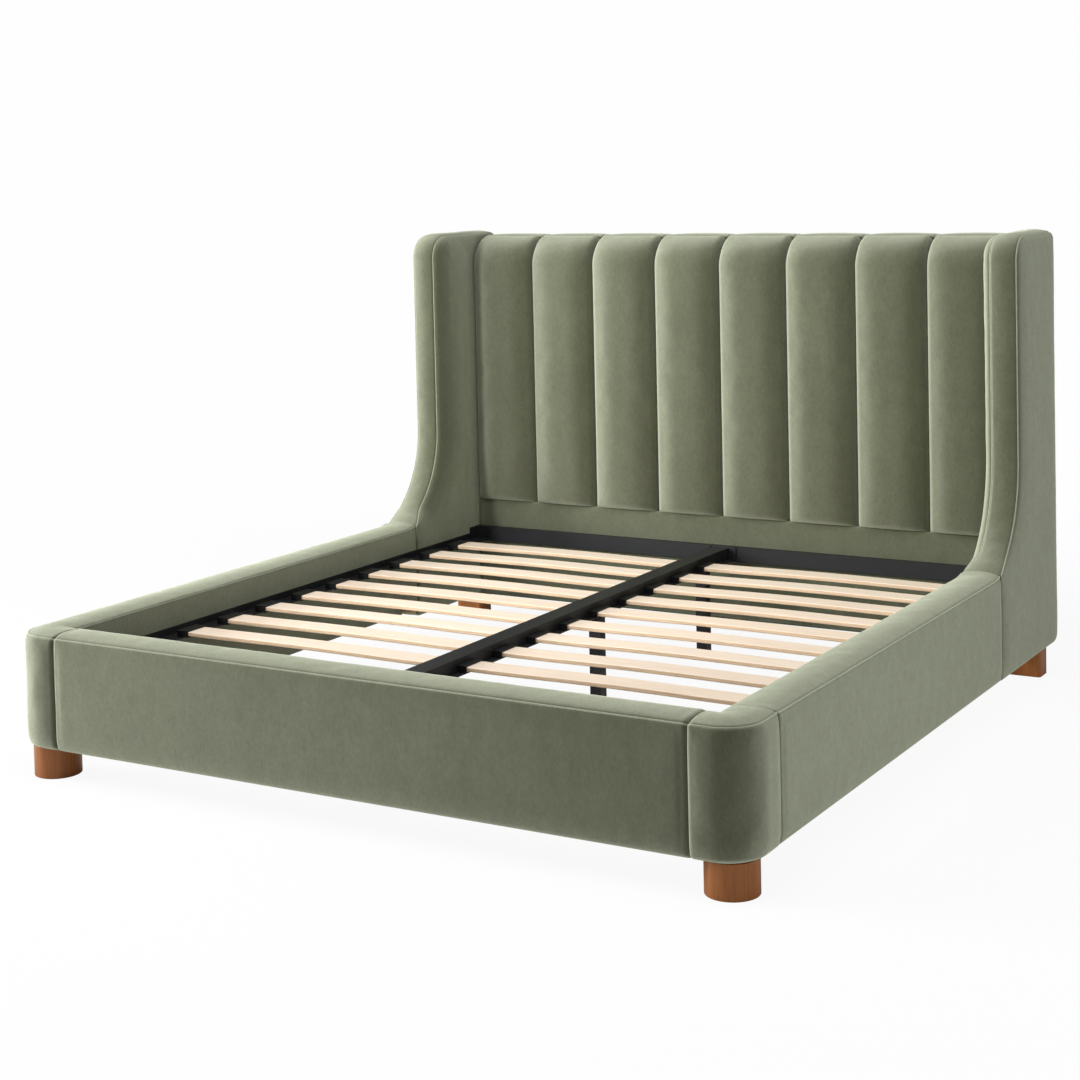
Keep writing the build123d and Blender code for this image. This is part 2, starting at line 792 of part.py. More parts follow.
# Sprung slats, bowed upwards between flat ends
def slat_edge(base):
    """Long edge of a slat in side view, drawn in the open line from inner to outer end."""
    start = slat_inner_end + slat_flat_end
    first = start + slat_quarter
    middle = first + slat_quarter
    last = middle + slat_quarter
    stop = last + slat_quarter
    low = base + slat_bow / 2 * slat_arc_share
    high = base + slat_bow - slat_bow / 2 * slat_arc_share
    Line((slat_inner_end, base), (start, base))
    ThreePointArc((start, base), ((start + first) / 2, low), (first, base + slat_bow / 2))
    ThreePointArc((first, base + slat_bow / 2), (middle, base + slat_bow), (last, base + slat_bow / 2))
    ThreePointArc((last, base + slat_bow / 2), ((last + stop) / 2, low), (stop, base))
    Line((stop, base), (slat_outer_end, base))


with BuildPart() as slat_blank:
    with BuildSketch(Plane.XZ):
        with BuildLine():
            slat_edge(slat_bottom)
            slat_edge(slat_bottom + slat_thickness)
            Line((slat_inner_end, slat_bottom), (slat_inner_end, slat_bottom + slat_thickness))
            Line((slat_outer_end, slat_bottom), (slat_outer_end, slat_bottom + slat_thickness))
        make_face()
    extrude(amount=slat_width / 2, both=True)
    long_edges = lambda e: e.length > slat_thickness and abs(e.tangent_at(0).X) > abs(e.tangent_at(0).Y)
    fillet(slat_blank.edges().filter_by(long_edges), slat_edge_radius)

for i, y in enumerate(slat_rows_y):
    with BuildPart() as slat:
        with Locations((0, y, 0)):
            add(slat_blank.part)
    finish(slat, f"slat_right_{i + 1:02d}")
    finish(mirrored(slat), f"slat_left_{i + 1:02d}")

# Centre legs: square tubes under a bolted plate, each with a threaded plug at its foot
with BuildPart() as centre_legs:
    leg_top = spine_bottom - bracket
    with Locations(*[(0, y, 0) for y in leg_rows_y]):
        with Locations((0, 0, leg_bottom)):
            Box(leg_size, leg_size, leg_top - leg_bottom, align=(Align.CENTER, Align.CENTER, Align.MIN))
        with Locations((0, 0, leg_bottom + leg_plug)):
            Box(
                leg_size - 2 * leg_wall,
                leg_size - 2 * leg_wall,
                leg_top - leg_bottom - leg_plug,
                align=(Align.CENTER, Align.CENTER, Align.MIN),
                mode=Mode.SUBTRACT,
            )
        with Locations((0, 0, leg_bottom)):
            Cylinder(
                glide_stem_radius + slide_clearance,
                leg_plug,
                align=(Align.CENTER, Align.CENTER, Align.MIN),
                mode=Mode.SUBTRACT,
            )
        with Locations((0, 0, leg_top)):
            Box(
                leg_plate_width,
                leg_plate_length,
                bracket,
                align=(Align.CENTER, Align.CENTER, Align.MIN),
            )
finish(centre_legs, "centre_legs")

# Screw glides under the centre legs
for i, y in enumerate(leg_rows_y):
    with BuildPart() as glide:
        with BuildSketch(Plane(origin=(0, y, 0))):
            Circle(glide_disc_radius)
        extrude(amount=glide_disc_height)
        fillet(glide.edges(), glide_edge_radius)
        with BuildSketch(Plane(origin=(0, y, glide_disc_height))):
            Circle(glide_stem_radius)
        extrude(amount=glide_stem_length)
    finish(glide, f"centre_leg_glide_{i + 1}")

# Wooden feet
with BuildPart() as front_foot_right:
    with BuildSketch(Plane(origin=(front_foot_x, front_foot_y, 0))):
        Circle(front_foot_radius)
    extrude(amount=floor_gap)
    fillet(front_foot_right.edges(), foot_edge)
    with BuildSketch(Plane(origin=(front_foot_x, front_foot_y, floor_gap))):
        Circle(hanger_radius + hole_clearance)
    extrude(amount=-hanger_reach, mode=Mode.SUBTRACT)
finish(front_foot_right, "front_foot_right")
finish(mirrored(front_foot_right), "front_foot_left")

with BuildPart() as rear_foot_right:
    with BuildSketch(Plane(origin=(rear_foot_x, rear_foot_y, 0))) as rear_plan:
        Rectangle(rear_foot_width, rear_foot_depth)
        fillet(rear_plan.vertices(), rear_foot_round)
    extrude(amount=floor_gap)
    fillet(rear_foot_right.faces().sort_by(Axis.Z)[0].edges(), foot_edge)
    with BuildSketch(Plane(origin=(rear_foot_x, rear_foot_y, floor_gap))):
        Circle(hanger_radius + hole_clearance)
    extrude(amount=-hanger_reach, mode=Mode.SUBTRACT)
finish(rear_foot_right, "rear_foot_right")
finish(mirrored(rear_foot_right), "rear_foot_left")

# Bolts that hold the feet
with BuildPart() as foot_bolts:
    with BuildSketch(Plane.XY.offset(floor_gap - hanger_reach)):
        with Locations((front_foot_x, front_foot_y), (rear_foot_x, rear_foot_y)):
            Circle(hanger_radius)
    extrude(amount=2 * hanger_reach + base_cloth)
    mirror(foot_bolts.part, about=Plane.YZ)
finish(foot_bolts, "foot_bolts")

# Bolts between the frames, and the screws of the steel side rails
with BuildPart() as frame_bolts:
    for seat, length in bolt_seats:
        with BuildSketch(seat):
            RegularPolygon(bolt_head_radius, 6)
        extrude(amount=-bolt_head_height)
        with BuildSketch(seat):
            Circle(bolt_radius)
        extrude(amount=length)
    with BuildSketch(across(inner_x - steel)):
        with Locations(*screw_spots):
            Circle(screw_head_radius)
    extrude(amount=-screw_head_height)
    with BuildSketch(across(inner_x - steel)):
        with Locations(*screw_spots):
            Circle(screw_radius)
    extrude(amount=screw_length)
    mirror(frame_bolts.part, about=Plane.YZ)
finish(frame_bolts, "frame_bolts")
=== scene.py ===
import math

import bpy
import bmesh
from mathutils import Matrix, Vector, geometry, kdtree, noise


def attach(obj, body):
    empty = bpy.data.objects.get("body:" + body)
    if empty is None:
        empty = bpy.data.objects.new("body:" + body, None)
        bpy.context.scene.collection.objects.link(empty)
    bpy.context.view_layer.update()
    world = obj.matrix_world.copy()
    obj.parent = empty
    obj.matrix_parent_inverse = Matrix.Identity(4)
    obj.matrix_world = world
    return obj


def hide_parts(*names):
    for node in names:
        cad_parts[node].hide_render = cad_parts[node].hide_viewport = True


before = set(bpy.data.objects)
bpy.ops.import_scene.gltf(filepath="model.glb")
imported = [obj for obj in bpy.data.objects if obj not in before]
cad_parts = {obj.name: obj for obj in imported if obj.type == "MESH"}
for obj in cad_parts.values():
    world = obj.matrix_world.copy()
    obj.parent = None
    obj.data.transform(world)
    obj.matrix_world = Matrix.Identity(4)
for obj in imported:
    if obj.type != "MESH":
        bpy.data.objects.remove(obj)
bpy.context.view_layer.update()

# Main sizes in metres, in the frame of the CAD
HALF_W = 1.090
FOOT_Y = -1.170
HEAD_Y = 1.170
INNER_X = 0.966
INNER_FOOT_Y = -1.052
GAP = 0.0006

# Rails: height of their piping, top, underside and lining, below which they are DEEP thick
PIPE_Z = 0.390
RAIL_TOP = 0.402
BASE_Z = 0.086
LINING_Z = 0.138
DEEP = 0.060

# Seams and radius of the front corners
SEAM_X = 0.943
SIDE_SEAM_Y = -0.998
CORNER_R = 0.095
INNER_CORNER_R = 0.0015

# Outline of the wings
WING_SEAM_Y = 0.600
WING_FRONT_Y = 0.795
WING_TOP = 1.388
WING_SWEEP_R = 0.335
WING_TOP_R = 0.085
WING_BACK_R = 0.028
WING_HEEL_R = 0.035

# Headboard: front of the channels, their ply, the roll at their top, lower band, back panel
CROWN_Y = 0.984
PLY_Y = 1.026
ROLL_Z = 1.270
ROLL_Y = 1.092
ROLL_R = 0.066
CHANNEL_Z = 0.432
CHANNELS = 8
PITCH = 2 * INNER_X / CHANNELS
BAND_Y = 1.010
BAND_BASE = 0.092
HEAD_TOP = 1.378
BACK_PLY_Y = 1.150
BACK_PLY_TOP = 1.336
BACK_R = 0.008
CAP_Y = ROLL_Y + 0.0008

# Piping: radii, and how far its middle lies inside the outer and inner edge of a rail
PIPE_R = 0.0023
INNER_PIPE_R = 0.0017
PIPE_IN = 0.0034
PIPE_UP = 0.0004
INNER_PIPE_IN = 0.0022
INNER_PIPE_DOWN = 0.0006

# Crowns of the padding: height, and power (a higher one is flatter in the middle)
CROWN = 0.0085
FOOT_CROWN = 0.0105
RAIL_POWER = 2.2
FOOT_POWER = 3.2
WING_POWER = 2.3

# Grooves along the piping run out over GROOVE_RUN
GROOVE_RUN = 0.006

# Tops of the rails: their seam lies below the piping's middle and rises in two steps
RAIL_W = 0.12
TOP_SEAM = 0.001
TOP_SHOULDER = 0.0035
TOP_BODY = 0.0010
TOP_BODY_RUN = 0.020

# Faces of the rails: lower edge, how far the piping draws them in, the two steps out, bulge
BOTTOM_R = 0.015
BOTTOM_IN = 0.002
FACE_IN = 0.0048
FACE_SHOULDER = 0.0030
FACE_BODY = 0.0018
FACE_BODY_RUN = 0.028
LINING_IN = 0.0032
FACE_BULGE = 0.002
CORNER_BULGE = 0.005
CORNER_BULGE_RUN = 0.05
FACE_EASE = 0.055

# Ends drawn in to a seam over a length END; the top takes TOP_SHARE of it at the front
FRONT_RECESS = 0.0075
SIDE_RECESS = 0.0068
TOP_SHARE = 0.9
END = 0.012

# Stations along a rail: their spacing, and the length at each end where they lie closer
STEP = 0.012
END_RUN = 0.03

# Join of a rail with its wing: the crown rises from JOIN before the seam, round JOIN_R, and the
# rail's end laps over by JOIN_LAP
JOIN = 0.060
JOIN_R = 0.280
JOIN_LAP = 0.0012
LAP_RUN = 0.01

# Wings: sizes of the section as (crown, outer x, outer depth, inner x, inner depth)
BAND = (CROWN, 0.009, 0.020, 0.034, 0.055)
SEAM = (0.0, 0.0072, 0.0130, 0.003, 0.004)
SWEEP_START = (CROWN, 0.0045, 0.0060) + SEAM[3:]
TOP_REAR = BAND[:3] + (0.006, 0.008)
REAR = (0.0, 0.0160, 0.0160, 0.003, 0.004)
BASE = (0.0, 0.0130, 0.0140, 0.003, 0.004)

# SWEEP_START grows to BAND over SWEEP_RUN, and BAND passes to TOP_REAR behind TAPER_Y
SWEEP_RUN = 0.11
TAPER_Y = 1.03
TAPER_RUN = 0.08
TOE_R = 0.014
WING_STEP = 0.014

# A section reaches in no further than this share of the way to the next corner
INSET_SHARE = 0.97
LEAST_INSET = 1e-4

# Crown of a wing: the share that rises beside the piping, how far it sinks there, its groove
SHOULDER_SHARE = 0.30
SUNK = 0.0026
GROOVE = 0.0030

# Panels of a wing: rim of the outer one, its rise near the rim and over the face, the inner one
WING_EDGE = HALF_W - 0.0007
RIM_RISE = 0.0028
RIM_RUN = 0.024
WING_RISE = 0.0030
WING_RUN = 0.11
INNER_RISE = 0.0032
INNER_RUN = 0.035
FOLD = 0.0009
FOLD_W = 0.035
FOLD_H = 0.35
PANEL_STEP = 0.020
PANEL_MARGIN = 0.012

# Channels: height at the seam, rise of the round shoulders, and of the belly between them
CHANNEL_GAP = 0.0004
CHANNEL_SEAM = 0.002
SHOULDER = 0.016
SHOULDER_RUN = 0.017
BELLY = 0.024
BELLY_POWER = 2.8

# Over the roll they have this height at the seam and this rise instead
ROLL_START = 0.50
ROLL_SEAM = 0.004
ROLL_RISE = 0.032
ROLL_RUN = 0.022

# Their lower end is drawn in towards LOW_RISE, and the rear end tucked in by TUCK
LOW_RISE = 0.008
LOW_SHARE = 0.30
LOW_RUN = 0.022
TUCK = 0.0065
TUCK_RUN = 0.009

# Lower band: gap to the channels, how far its edges are drawn in, spacing of its stations
BAND_GAP = 0.001
BAND_STEP = 0.03
BAND_IN = 0.005
BAND_RUN = 0.012

# Back panel: dip of its cap at each channel seam, and how far its ends are drawn in
CAP_DIP = 0.0042
CAP_POWER = 2.5
CAP_GROOVE = 0.0022
BACK_IN = 0.004
BACK_RUN = 0.01

# Unevenness of the cloth: waves as (size, height), which die out towards a seam over a run
FACE_WAVES = ((0.16, 0.0012), (0.045, 0.0004))
TOP_WAVES = ((0.14, 0.0011), (0.04, 0.0003))
WING_WAVES = ((0.22, 0.0016), (0.06, 0.0004))
WING_TOP_WAVES = ((0.12, 0.0010),)
CHANNEL_WAVES = ((0.15, 0.0013), (0.05, 0.0004))
BAND_WAVES = ((0.11, 0.0012),)
BACK_WAVES = ((0.2, 0.0013),)
CALM_RUN = 0.05
CHANNEL_CALM_RUN = 0.03
BACK_CALM_RUN = 0.02

# Cloth: how far the pads may puff, and how near a seam they are held
PUFF_CAP = 0.0028
HOLD = 0.035
FRAMES = 20
SMOOTH_PASSES = 4


def smooth01(t):
    """Smooth step from 0 to 1."""
    t = max(0.0, min(1.0, t))
    return t * t * (3 - 2 * t)


def pillow(d, w):
    """Rise of a padded surface at distance d from its seam: 0 at the seam, 1 beyond w."""
    q = 1 - max(0.0, min(1.0, d / w))
    return math.sqrt(max(0.0, 1 - q * q))


def spread(k, count):
    """Share of the way for step k of count, closer together near both ends."""
    return 0.5 - 0.5 * math.cos(math.pi * k / count)


def ripple(p, waves, *seeds):
    """Smooth unevenness of cloth at point p, with one seed for each of the waves."""
    total = 0.0
    for (size, height), seed in zip(waves, seeds):
        total += height * noise.noise(Vector((p[0] / size + seed, p[1] / size, p[2] / size)))
    return total


# Meshes
def make_object(name, verts, faces, mat, sharp=40):
    """A smooth mesh that rides on the bed, in the material given."""
    mesh = bpy.data.meshes.new(name)
    mesh.from_pydata([tuple(v) for v in verts], [], faces)
    mesh.validate()
    draft = bmesh.new()
    draft.from_mesh(mesh)
    bmesh.ops.remove_doubles(draft, verts=draft.verts, dist=2e-5)
    bmesh.ops.recalc_face_normals(draft, faces=draft.faces)
    draft.to_mesh(mesh)
    draft.free()
    for face in mesh.polygons:
        face.use_smooth = True
    mesh.set_sharp_from_angle(angle=math.radians(sharp))
    ob = bpy.data.objects.new(name, mesh)
    bpy.context.scene.collection.objects.link(ob)
    mesh.materials.append(mat)
    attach(ob, "bed")
    return ob


def loft(rings):
    """Faces between closed rings of equal length, with the ends capped."""
    n = len(rings[0])
    verts = [v for ring in rings for v in ring]
    faces = []
    for i in range(len(rings) - 1):
        a = i * n
        b = a + n
        for j in range(n):
            k = (j + 1) % n
            faces.append((a + j, a + k, b + k, b + j))
    faces.append(tuple(range(n - 1, -1, -1)))
    faces.append(tuple((len(rings) - 1) * n + j for j in range(n)))
    return verts, faces


def tube(name, points, radius, mat):
    """Round tube along points: the piping in a seam."""
    pts = [Vector(p) for p in points]
    turns = [2 * math.pi * k / 8 for k in range(8)]
    rings = []
    last = len(pts) - 1
    up = Vector((0.123, 0.211, 0.97)).normalized()
    for i, p in enumerate(pts):
        t = (pts[min(i + 1, last)] - pts[max(i - 1, 0)]).normalized()
        s = t.cross(up)
        if s.length < 0.05:
            s = t.cross(Vector((1, 0, 0)))
        s.normalize()
        up = s.cross(t).normalized()
        rings.append([p + (s * math.cos(a) + up * math.sin(a)) * radius for a in turns])
    verts, faces = loft(rings)
    return make_object(name, verts, faces, mat, sharp=80)


def inside(p, outline):
    """Whether a 2-D point lies inside a closed outline."""
    hit = False
    for a, b in zip(outline, outline[1:] + outline[:1]):
        if (a[1] > p[1]) != (b[1] > p[1]):
            if p[0] < a[0] + (b[0] - a[0]) * (p[1] - a[1]) / (b[1] - a[1]):
                hit = not hit
    return hit


def fill_outline(outline, step, margin):
    """Triangles over a flat outline, with rows of points inside it: points, distances, faces."""
    rim = []
    for p in outline:
        if not rim or math.dist(p, rim[-1]) > 1e-4:
            rim.append(p)
    if math.dist(rim[0], rim[-1]) < 1e-4:
        rim.pop()
    tree = kdtree.KDTree(len(rim))
    for i, p in enumerate(rim):
        tree.insert((p[0], p[1], 0), i)
    tree.balance()
    inner = []
    lows = [min(p[k] for p in rim) for k in (0, 1)]
    highs = [max(p[k] for p in rim) for k in (0, 1)]
    rows = int((highs[1] - lows[1]) / step)
    for r in range(rows):
        v = lows[1] + (r + 0.5) * step
        u = lows[0] + (0.25 + 0.5 * (r % 2)) * step
        while u < highs[0]:
            if tree.find((u, v, 0))[2] > margin and inside((u, v), rim):
                inner.append((u, v))
            u += step
    points = [Vector(p) for p in rim + inner]
    edges = [(i, (i + 1) % len(rim)) for i in range(len(rim))]
    out = geometry.delaunay_2d_cdt(points, edges, [], 1, 1e-7)
    distances = [tree.find((p[0], p[1], 0))[2] for p in out[0]]
    return out[0], distances, out[2]


pads = []


def add_pad(ob, nodes, seams):
    """Hide the CAD parts of a padded piece, and keep its seams for the cloth step."""
    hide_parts(*nodes)
    pads.append((ob, seams))


def even_out(mesh, moves):
    """Average the moves with those of their neighbours, to take the small ripples out."""
    for _ in range(SMOOTH_PASSES):
        total = [m.copy() for m in moves]
        count = [1] * len(moves)
        for e in mesh.edges:
            i, j = e.vertices
            total[i] += moves[j]
            total[j] += moves[i]
            count[i] += 1
            count[j] += 1
        moves = [t / c for t, c in zip(total, count)]
    return moves


def puff_pads():
    """Blow up the cloth of every pad a little between its seams, as its foam does."""
    scene = bpy.context.scene
    rest = {}
    for ob, seams in pads:
        tree = kdtree.KDTree(len(seams))
        for i, p in enumerate(seams):
            tree.insert(p, i)
        tree.balance()
        pins = ob.vertex_groups.new(name="seams")
        for v in ob.data.vertices:
            weight = 1 - smooth01(tree.find(v.co)[2] / HOLD)
            pins.add([v.index], weight, "REPLACE")
        rest[ob] = [v.co.copy() for v in ob.data.vertices]
        cloth = ob.modifiers.new("cloth", "CLOTH")
        settings = cloth.settings
        settings.quality = 4
        settings.mass = 0.3
        settings.tension_stiffness = 18
        settings.compression_stiffness = 18
        settings.bending_stiffness = 0.6
        settings.shrink_min = -0.006
        settings.vertex_group_mass = pins.name
        settings.use_pressure = True
        settings.uniform_pressure_force = 4
        settings.effector_weights.gravity = 0
        cloth.collision_settings.use_collision = False
        cloth.point_cache.frame_start = 1
        cloth.point_cache.frame_end = FRAMES
    for f in range(1, FRAMES + 1):
        scene.frame_set(f)
    deps = bpy.context.evaluated_depsgraph_get()
    moved = {}
    for ob, start in rest.items():
        blown = [v.co.copy() for v in ob.evaluated_get(deps).data.vertices]
        moved[ob] = [b - a for a, b in zip(start, blown)]
    for ob, start in rest.items():
        ob.modifiers.clear()
        ob.vertex_groups.clear()
        for v, a, move in zip(ob.data.vertices, start, even_out(ob.data, moved[ob])):
            if move.length > 1e-7:
                v.co = a + move * (PUFF_CAP * math.tanh(move.length / PUFF_CAP) / move.length)
        ob.data.update()
    scene.frame_set(1)


# Materials
def new_mat(name):
    """A material with one Principled shader: material, node tree, shader."""
    mat = bpy.data.materials.new(name)
    mat.use_nodes = True
    tree = mat.node_tree
    tree.nodes.clear()
    out = tree.nodes.new("ShaderNodeOutputMaterial")
    bsdf = tree.nodes.new("ShaderNodeBsdfPrincipled")
    tree.links.new(bsdf.outputs[0], out.inputs[0])
    return mat, tree, bsdf


def coords(tree, scale=(1, 1, 1)):
    """Object coordinates, scaled."""
    source = tree.nodes.new("ShaderNodeTexCoord")
    mapping = tree.nodes.new("ShaderNodeMapping")
    mapping.inputs["Scale"].default_value = scale
    tree.links.new(source.outputs["Object"], mapping.inputs["Vector"])
    return mapping.outputs[0]


def tex_noise(tree, vec, scale, detail=3.0, rough=0.5, distortion=0.0):
    n = tree.nodes.new("ShaderNodeTexNoise")
    n.inputs["Scale"].default_value = scale
    n.inputs["Detail"].default_value = detail
    n.inputs["Roughness"].default_value = rough
    n.inputs["Distortion"].default_value = distortion
    tree.links.new(vec, n.inputs["Vector"])
    return n.outputs["Fac"]


def ramp(tree, fac, stops):
    r = tree.nodes.new("ShaderNodeValToRGB")
    els = r.color_ramp.elements
    while len(els) < len(stops):
        els.new(0.5)
    for el, (pos, col) in zip(els, stops):
        el.position = pos
        el.color = (*col, 1.0)
    tree.links.new(fac, r.inputs["Fac"])
    return r.outputs["Color"]


def grey_ramp(tree, fac, stops):
    return ramp(tree, fac, [(pos, (value, value, value)) for pos, value in stops])


def mix_rgb(tree, a, b, fac, blend="MIX"):
    m = tree.nodes.new("ShaderNodeMix")
    m.data_type = "RGBA"
    m.blend_type = blend
    for sock, val in ((6, a), (7, b)):
        if isinstance(val, (tuple, list)):
            m.inputs[sock].default_value = (*val, 1.0)
        else:
            tree.links.new(val, m.inputs[sock])
    if isinstance(fac, (int, float)):
        m.inputs[0].default_value = fac
    else:
        tree.links.new(fac, m.inputs[0])
    return m.outputs[2]


def bump(tree, height, distance, strength=1.0, normal=None):
    b = tree.nodes.new("ShaderNodeBump")
    b.inputs["Distance"].default_value = distance
    b.inputs["Strength"].default_value = strength
    tree.links.new(height, b.inputs["Height"])
    if normal is not None:
        tree.links.new(normal, b.inputs["Normal"])
    return b.outputs[0]


# Painted sheen: share of the pale tint against how far the pile turns from the eye
PAINTED_SHEEN_TURN = ((0.0, 0.025), (0.15, 0.09), (0.5, 0.35), (0.78, 0.47), (0.9, 0.62), (1.0, 1.0))


def velvet(name, deep, pale, tint, sheen, sheen_rough):
    """Short pile with its sheen painted into the colour: dark where it faces the eye, pale where
    it turns away; the shader's own sheen adds to it.
    """
    mat, tree, bsdf = new_mat(name)
    brushed = tex_noise(tree, coords(tree, (5.0, 5.0, 2.2)), 1.6, 4.0, 0.55, 0.4)
    patches = tex_noise(tree, coords(tree, (1, 1, 0.7)), 3.0, 2.0, 0.5)
    streaks = tex_noise(tree, coords(tree, (1, 1, 0.5)), 150.0, 3.0, 0.6, 0.3)
    mottle = tex_noise(tree, coords(tree, (1, 1, 0.6)), 34.0, 3.0, 0.6)
    pile = tex_noise(tree, coords(tree), 900.0, 2.0, 0.6)
    soft = mix_rgb(tree, brushed, patches, 0.45)
    colour = ramp(tree, soft, ((0.30, deep), (0.72, pale)))
    # Painted sheen: the colour is mixed towards the pale tint where the surface turns from the eye
    layer = tree.nodes.new("ShaderNodeLayerWeight")
    layer.inputs["Blend"].default_value = 0.5
    turn = grey_ramp(tree, layer.outputs["Facing"], PAINTED_SHEEN_TURN)
    colour = mix_rgb(tree, colour, tint, turn)
    for fac, low, high in ((pile, 0.88, 1.10), (streaks, 0.91, 1.08), (mottle, 0.95, 1.05)):
        shade = grey_ramp(tree, fac, ((0.30, low), (0.70, high)))
        colour = mix_rgb(tree, colour, shade, 1.0, "MULTIPLY")
    tree.links.new(colour, bsdf.inputs["Base Color"])
    bsdf.inputs["Roughness"].default_value = 1.0
    bsdf.inputs["Specular IOR Level"].default_value = 0.05
    bsdf.inputs["Sheen Weight"].default_value = sheen
    bsdf.inputs["Sheen Roughness"].default_value = sheen_rough
    bsdf.inputs["Sheen Tint"].default_value = (*tint, 1.0)
    nap = bump(tree, brushed, 0.0012, 0.12)
    stroke = bump(tree, streaks, 0.0005, 0.15, nap)
    tree.links.new(bump(tree, pile, 0.0003, 0.35, stroke), bsdf.inputs["Normal"])
    return mat


def wood(name, light, dark, axis, scale=1.0, rough=0.5, coat=0.0, edge=None, specular=0.4):
    """Grain along one axis; edge is the colour of the upright faces, such as plies."""
    mat, tree, bsdf = new_mat(name)
    stretch = {"X": (0.06, 1, 1), "Z": (1, 1, 0.06)}[axis]
    along = coords(tree, tuple(s * scale for s in stretch))
    wave = tex_noise(tree, along, 28.0, 6.0, 0.62, 1.4)
    fibre = tex_noise(tree, along, 240.0, 3.0, 0.7)
    broad = tex_noise(tree, along, 5.0, 2.0, 0.5, 0.6)
    colour = ramp(tree, mix_rgb(tree, wave, broad, 0.5), ((0.30, dark), (0.68, light)))
    if edge:
        geo = tree.nodes.new("ShaderNodeNewGeometry")
        split = tree.nodes.new("ShaderNodeSeparateXYZ")
        tree.links.new(geo.outputs["Normal"], split.inputs[0])
        upright = grey_ramp(tree, split.outputs["Z"], ((0.35, 1.0), (0.80, 0.0)))
        plies = tex_noise(tree, coords(tree, (0.5, 0.5, 30.0)), 16.0, 2.0, 0.6)
        cut = ramp(tree, plies, ((0.35, tuple(c * 0.78 for c in edge)), (0.62, edge)))
        colour = mix_rgb(tree, colour, cut, upright)
    fine = grey_ramp(tree, fibre, ((0.3, 0.88), (0.75, 1.06)))
    colour = mix_rgb(tree, colour, fine, 1.0, "MULTIPLY")
    tree.links.new(colour, bsdf.inputs["Base Color"])
    bsdf.inputs["Roughness"].default_value = rough
    bsdf.inputs["Specular IOR Level"].default_value = specular
    bsdf.inputs["Coat Weight"].default_value = coat
    bsdf.inputs["Coat Roughness"].default_value = 0.35
    tree.links.new(bump(tree, fibre, 0.0003, 0.4), bsdf.inputs["Normal"])
    return mat


def plain(name, colour, rough, speck, grain, specular=0.5):
    """Painted steel or plastic with a fine grain."""
    mat, tree, bsdf = new_mat(name)
    n = tex_noise(tree, coords(tree), 9.0, 4.0, 0.6)
    low = tuple(c * (1 - speck) for c in colour)
    high = tuple(c * (1 + speck) for c in colour)
    tree.links.new(ramp(tree, n, ((0.3, low), (0.7, high))), bsdf.inputs["Base Color"])
    bsdf.inputs["Roughness"].default_value = rough
    bsdf.inputs["Specular IOR Level"].default_value = specular
    peel = tex_noise(tree, coords(tree), grain, 2.0, 0.5)
    tree.links.new(bump(tree, peel, 0.00015, 0.5), bsdf.inputs["Normal"])
    return mat


SAGE_DEEP = (0.057, 0.062, 0.034)
SAGE_PALE = (0.078, 0.084, 0.050)
SAGE_TINT = (0.60, 0.632, 0.49)
# Piping: the same velvet, its colours lightened several times over as a painted highlight along
# the piping
WELT_LIT_DEEP = (0.21, 0.224, 0.158)
WELT_LIT_PALE = (0.26, 0.275, 0.20)
WELT_TINT = (0.60, 0.63, 0.51)
VELVET = velvet("velvet_sage", SAGE_DEEP, SAGE_PALE, SAGE_TINT, 0.35, 0.45)
WELT_LIT = velvet("velvet_welt_lit", WELT_LIT_DEEP, WELT_LIT_PALE, WELT_TINT, 0.5, 0.45)
BIRCH = wood("birch_slat", (0.90, 0.76, 0.62), (0.81, 0.65, 0.50), "X", rough=0.55,
             edge=(0.72, 0.52, 0.34))
FOOT_WOOD = wood("stained_foot", (0.365, 0.134, 0.040), (0.17, 0.058, 0.015), "Z", scale=1.3,
                 rough=0.38, coat=0.03, specular=0.18)
PINE = wood("frame_timber", (0.62, 0.45, 0.27), (0.48, 0.32, 0.17), "X", scale=0.8, rough=0.7)
STEEL = plain("black_powder_coat", (0.013, 0.0135, 0.015), 0.45, 0.08, 900.0, 0.3)
PLASTIC = plain("black_plastic", (0.009, 0.009, 0.0095), 0.5, 0.05, 500.0, 0.25)
BOLT = plain("black_bolt", (0.016, 0.016, 0.017), 0.40, 0.06, 300.0)


def node_material(name):
    if name.startswith("slat_holders") or name.startswith("centre_leg_glide"):
        return PLASTIC
    if name.startswith("slat_"):
        return BIRCH
    if "foot_left" in name or "foot_right" in name:
        return FOOT_WOOD
    if "bolts" in name:
        return BOLT
    if name.endswith("_frame") or "_frame_" in name:
        return PINE
    return STEEL


for name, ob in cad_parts.items():
    ob.data.materials.clear()
    ob.data.materials.append(node_material(name))


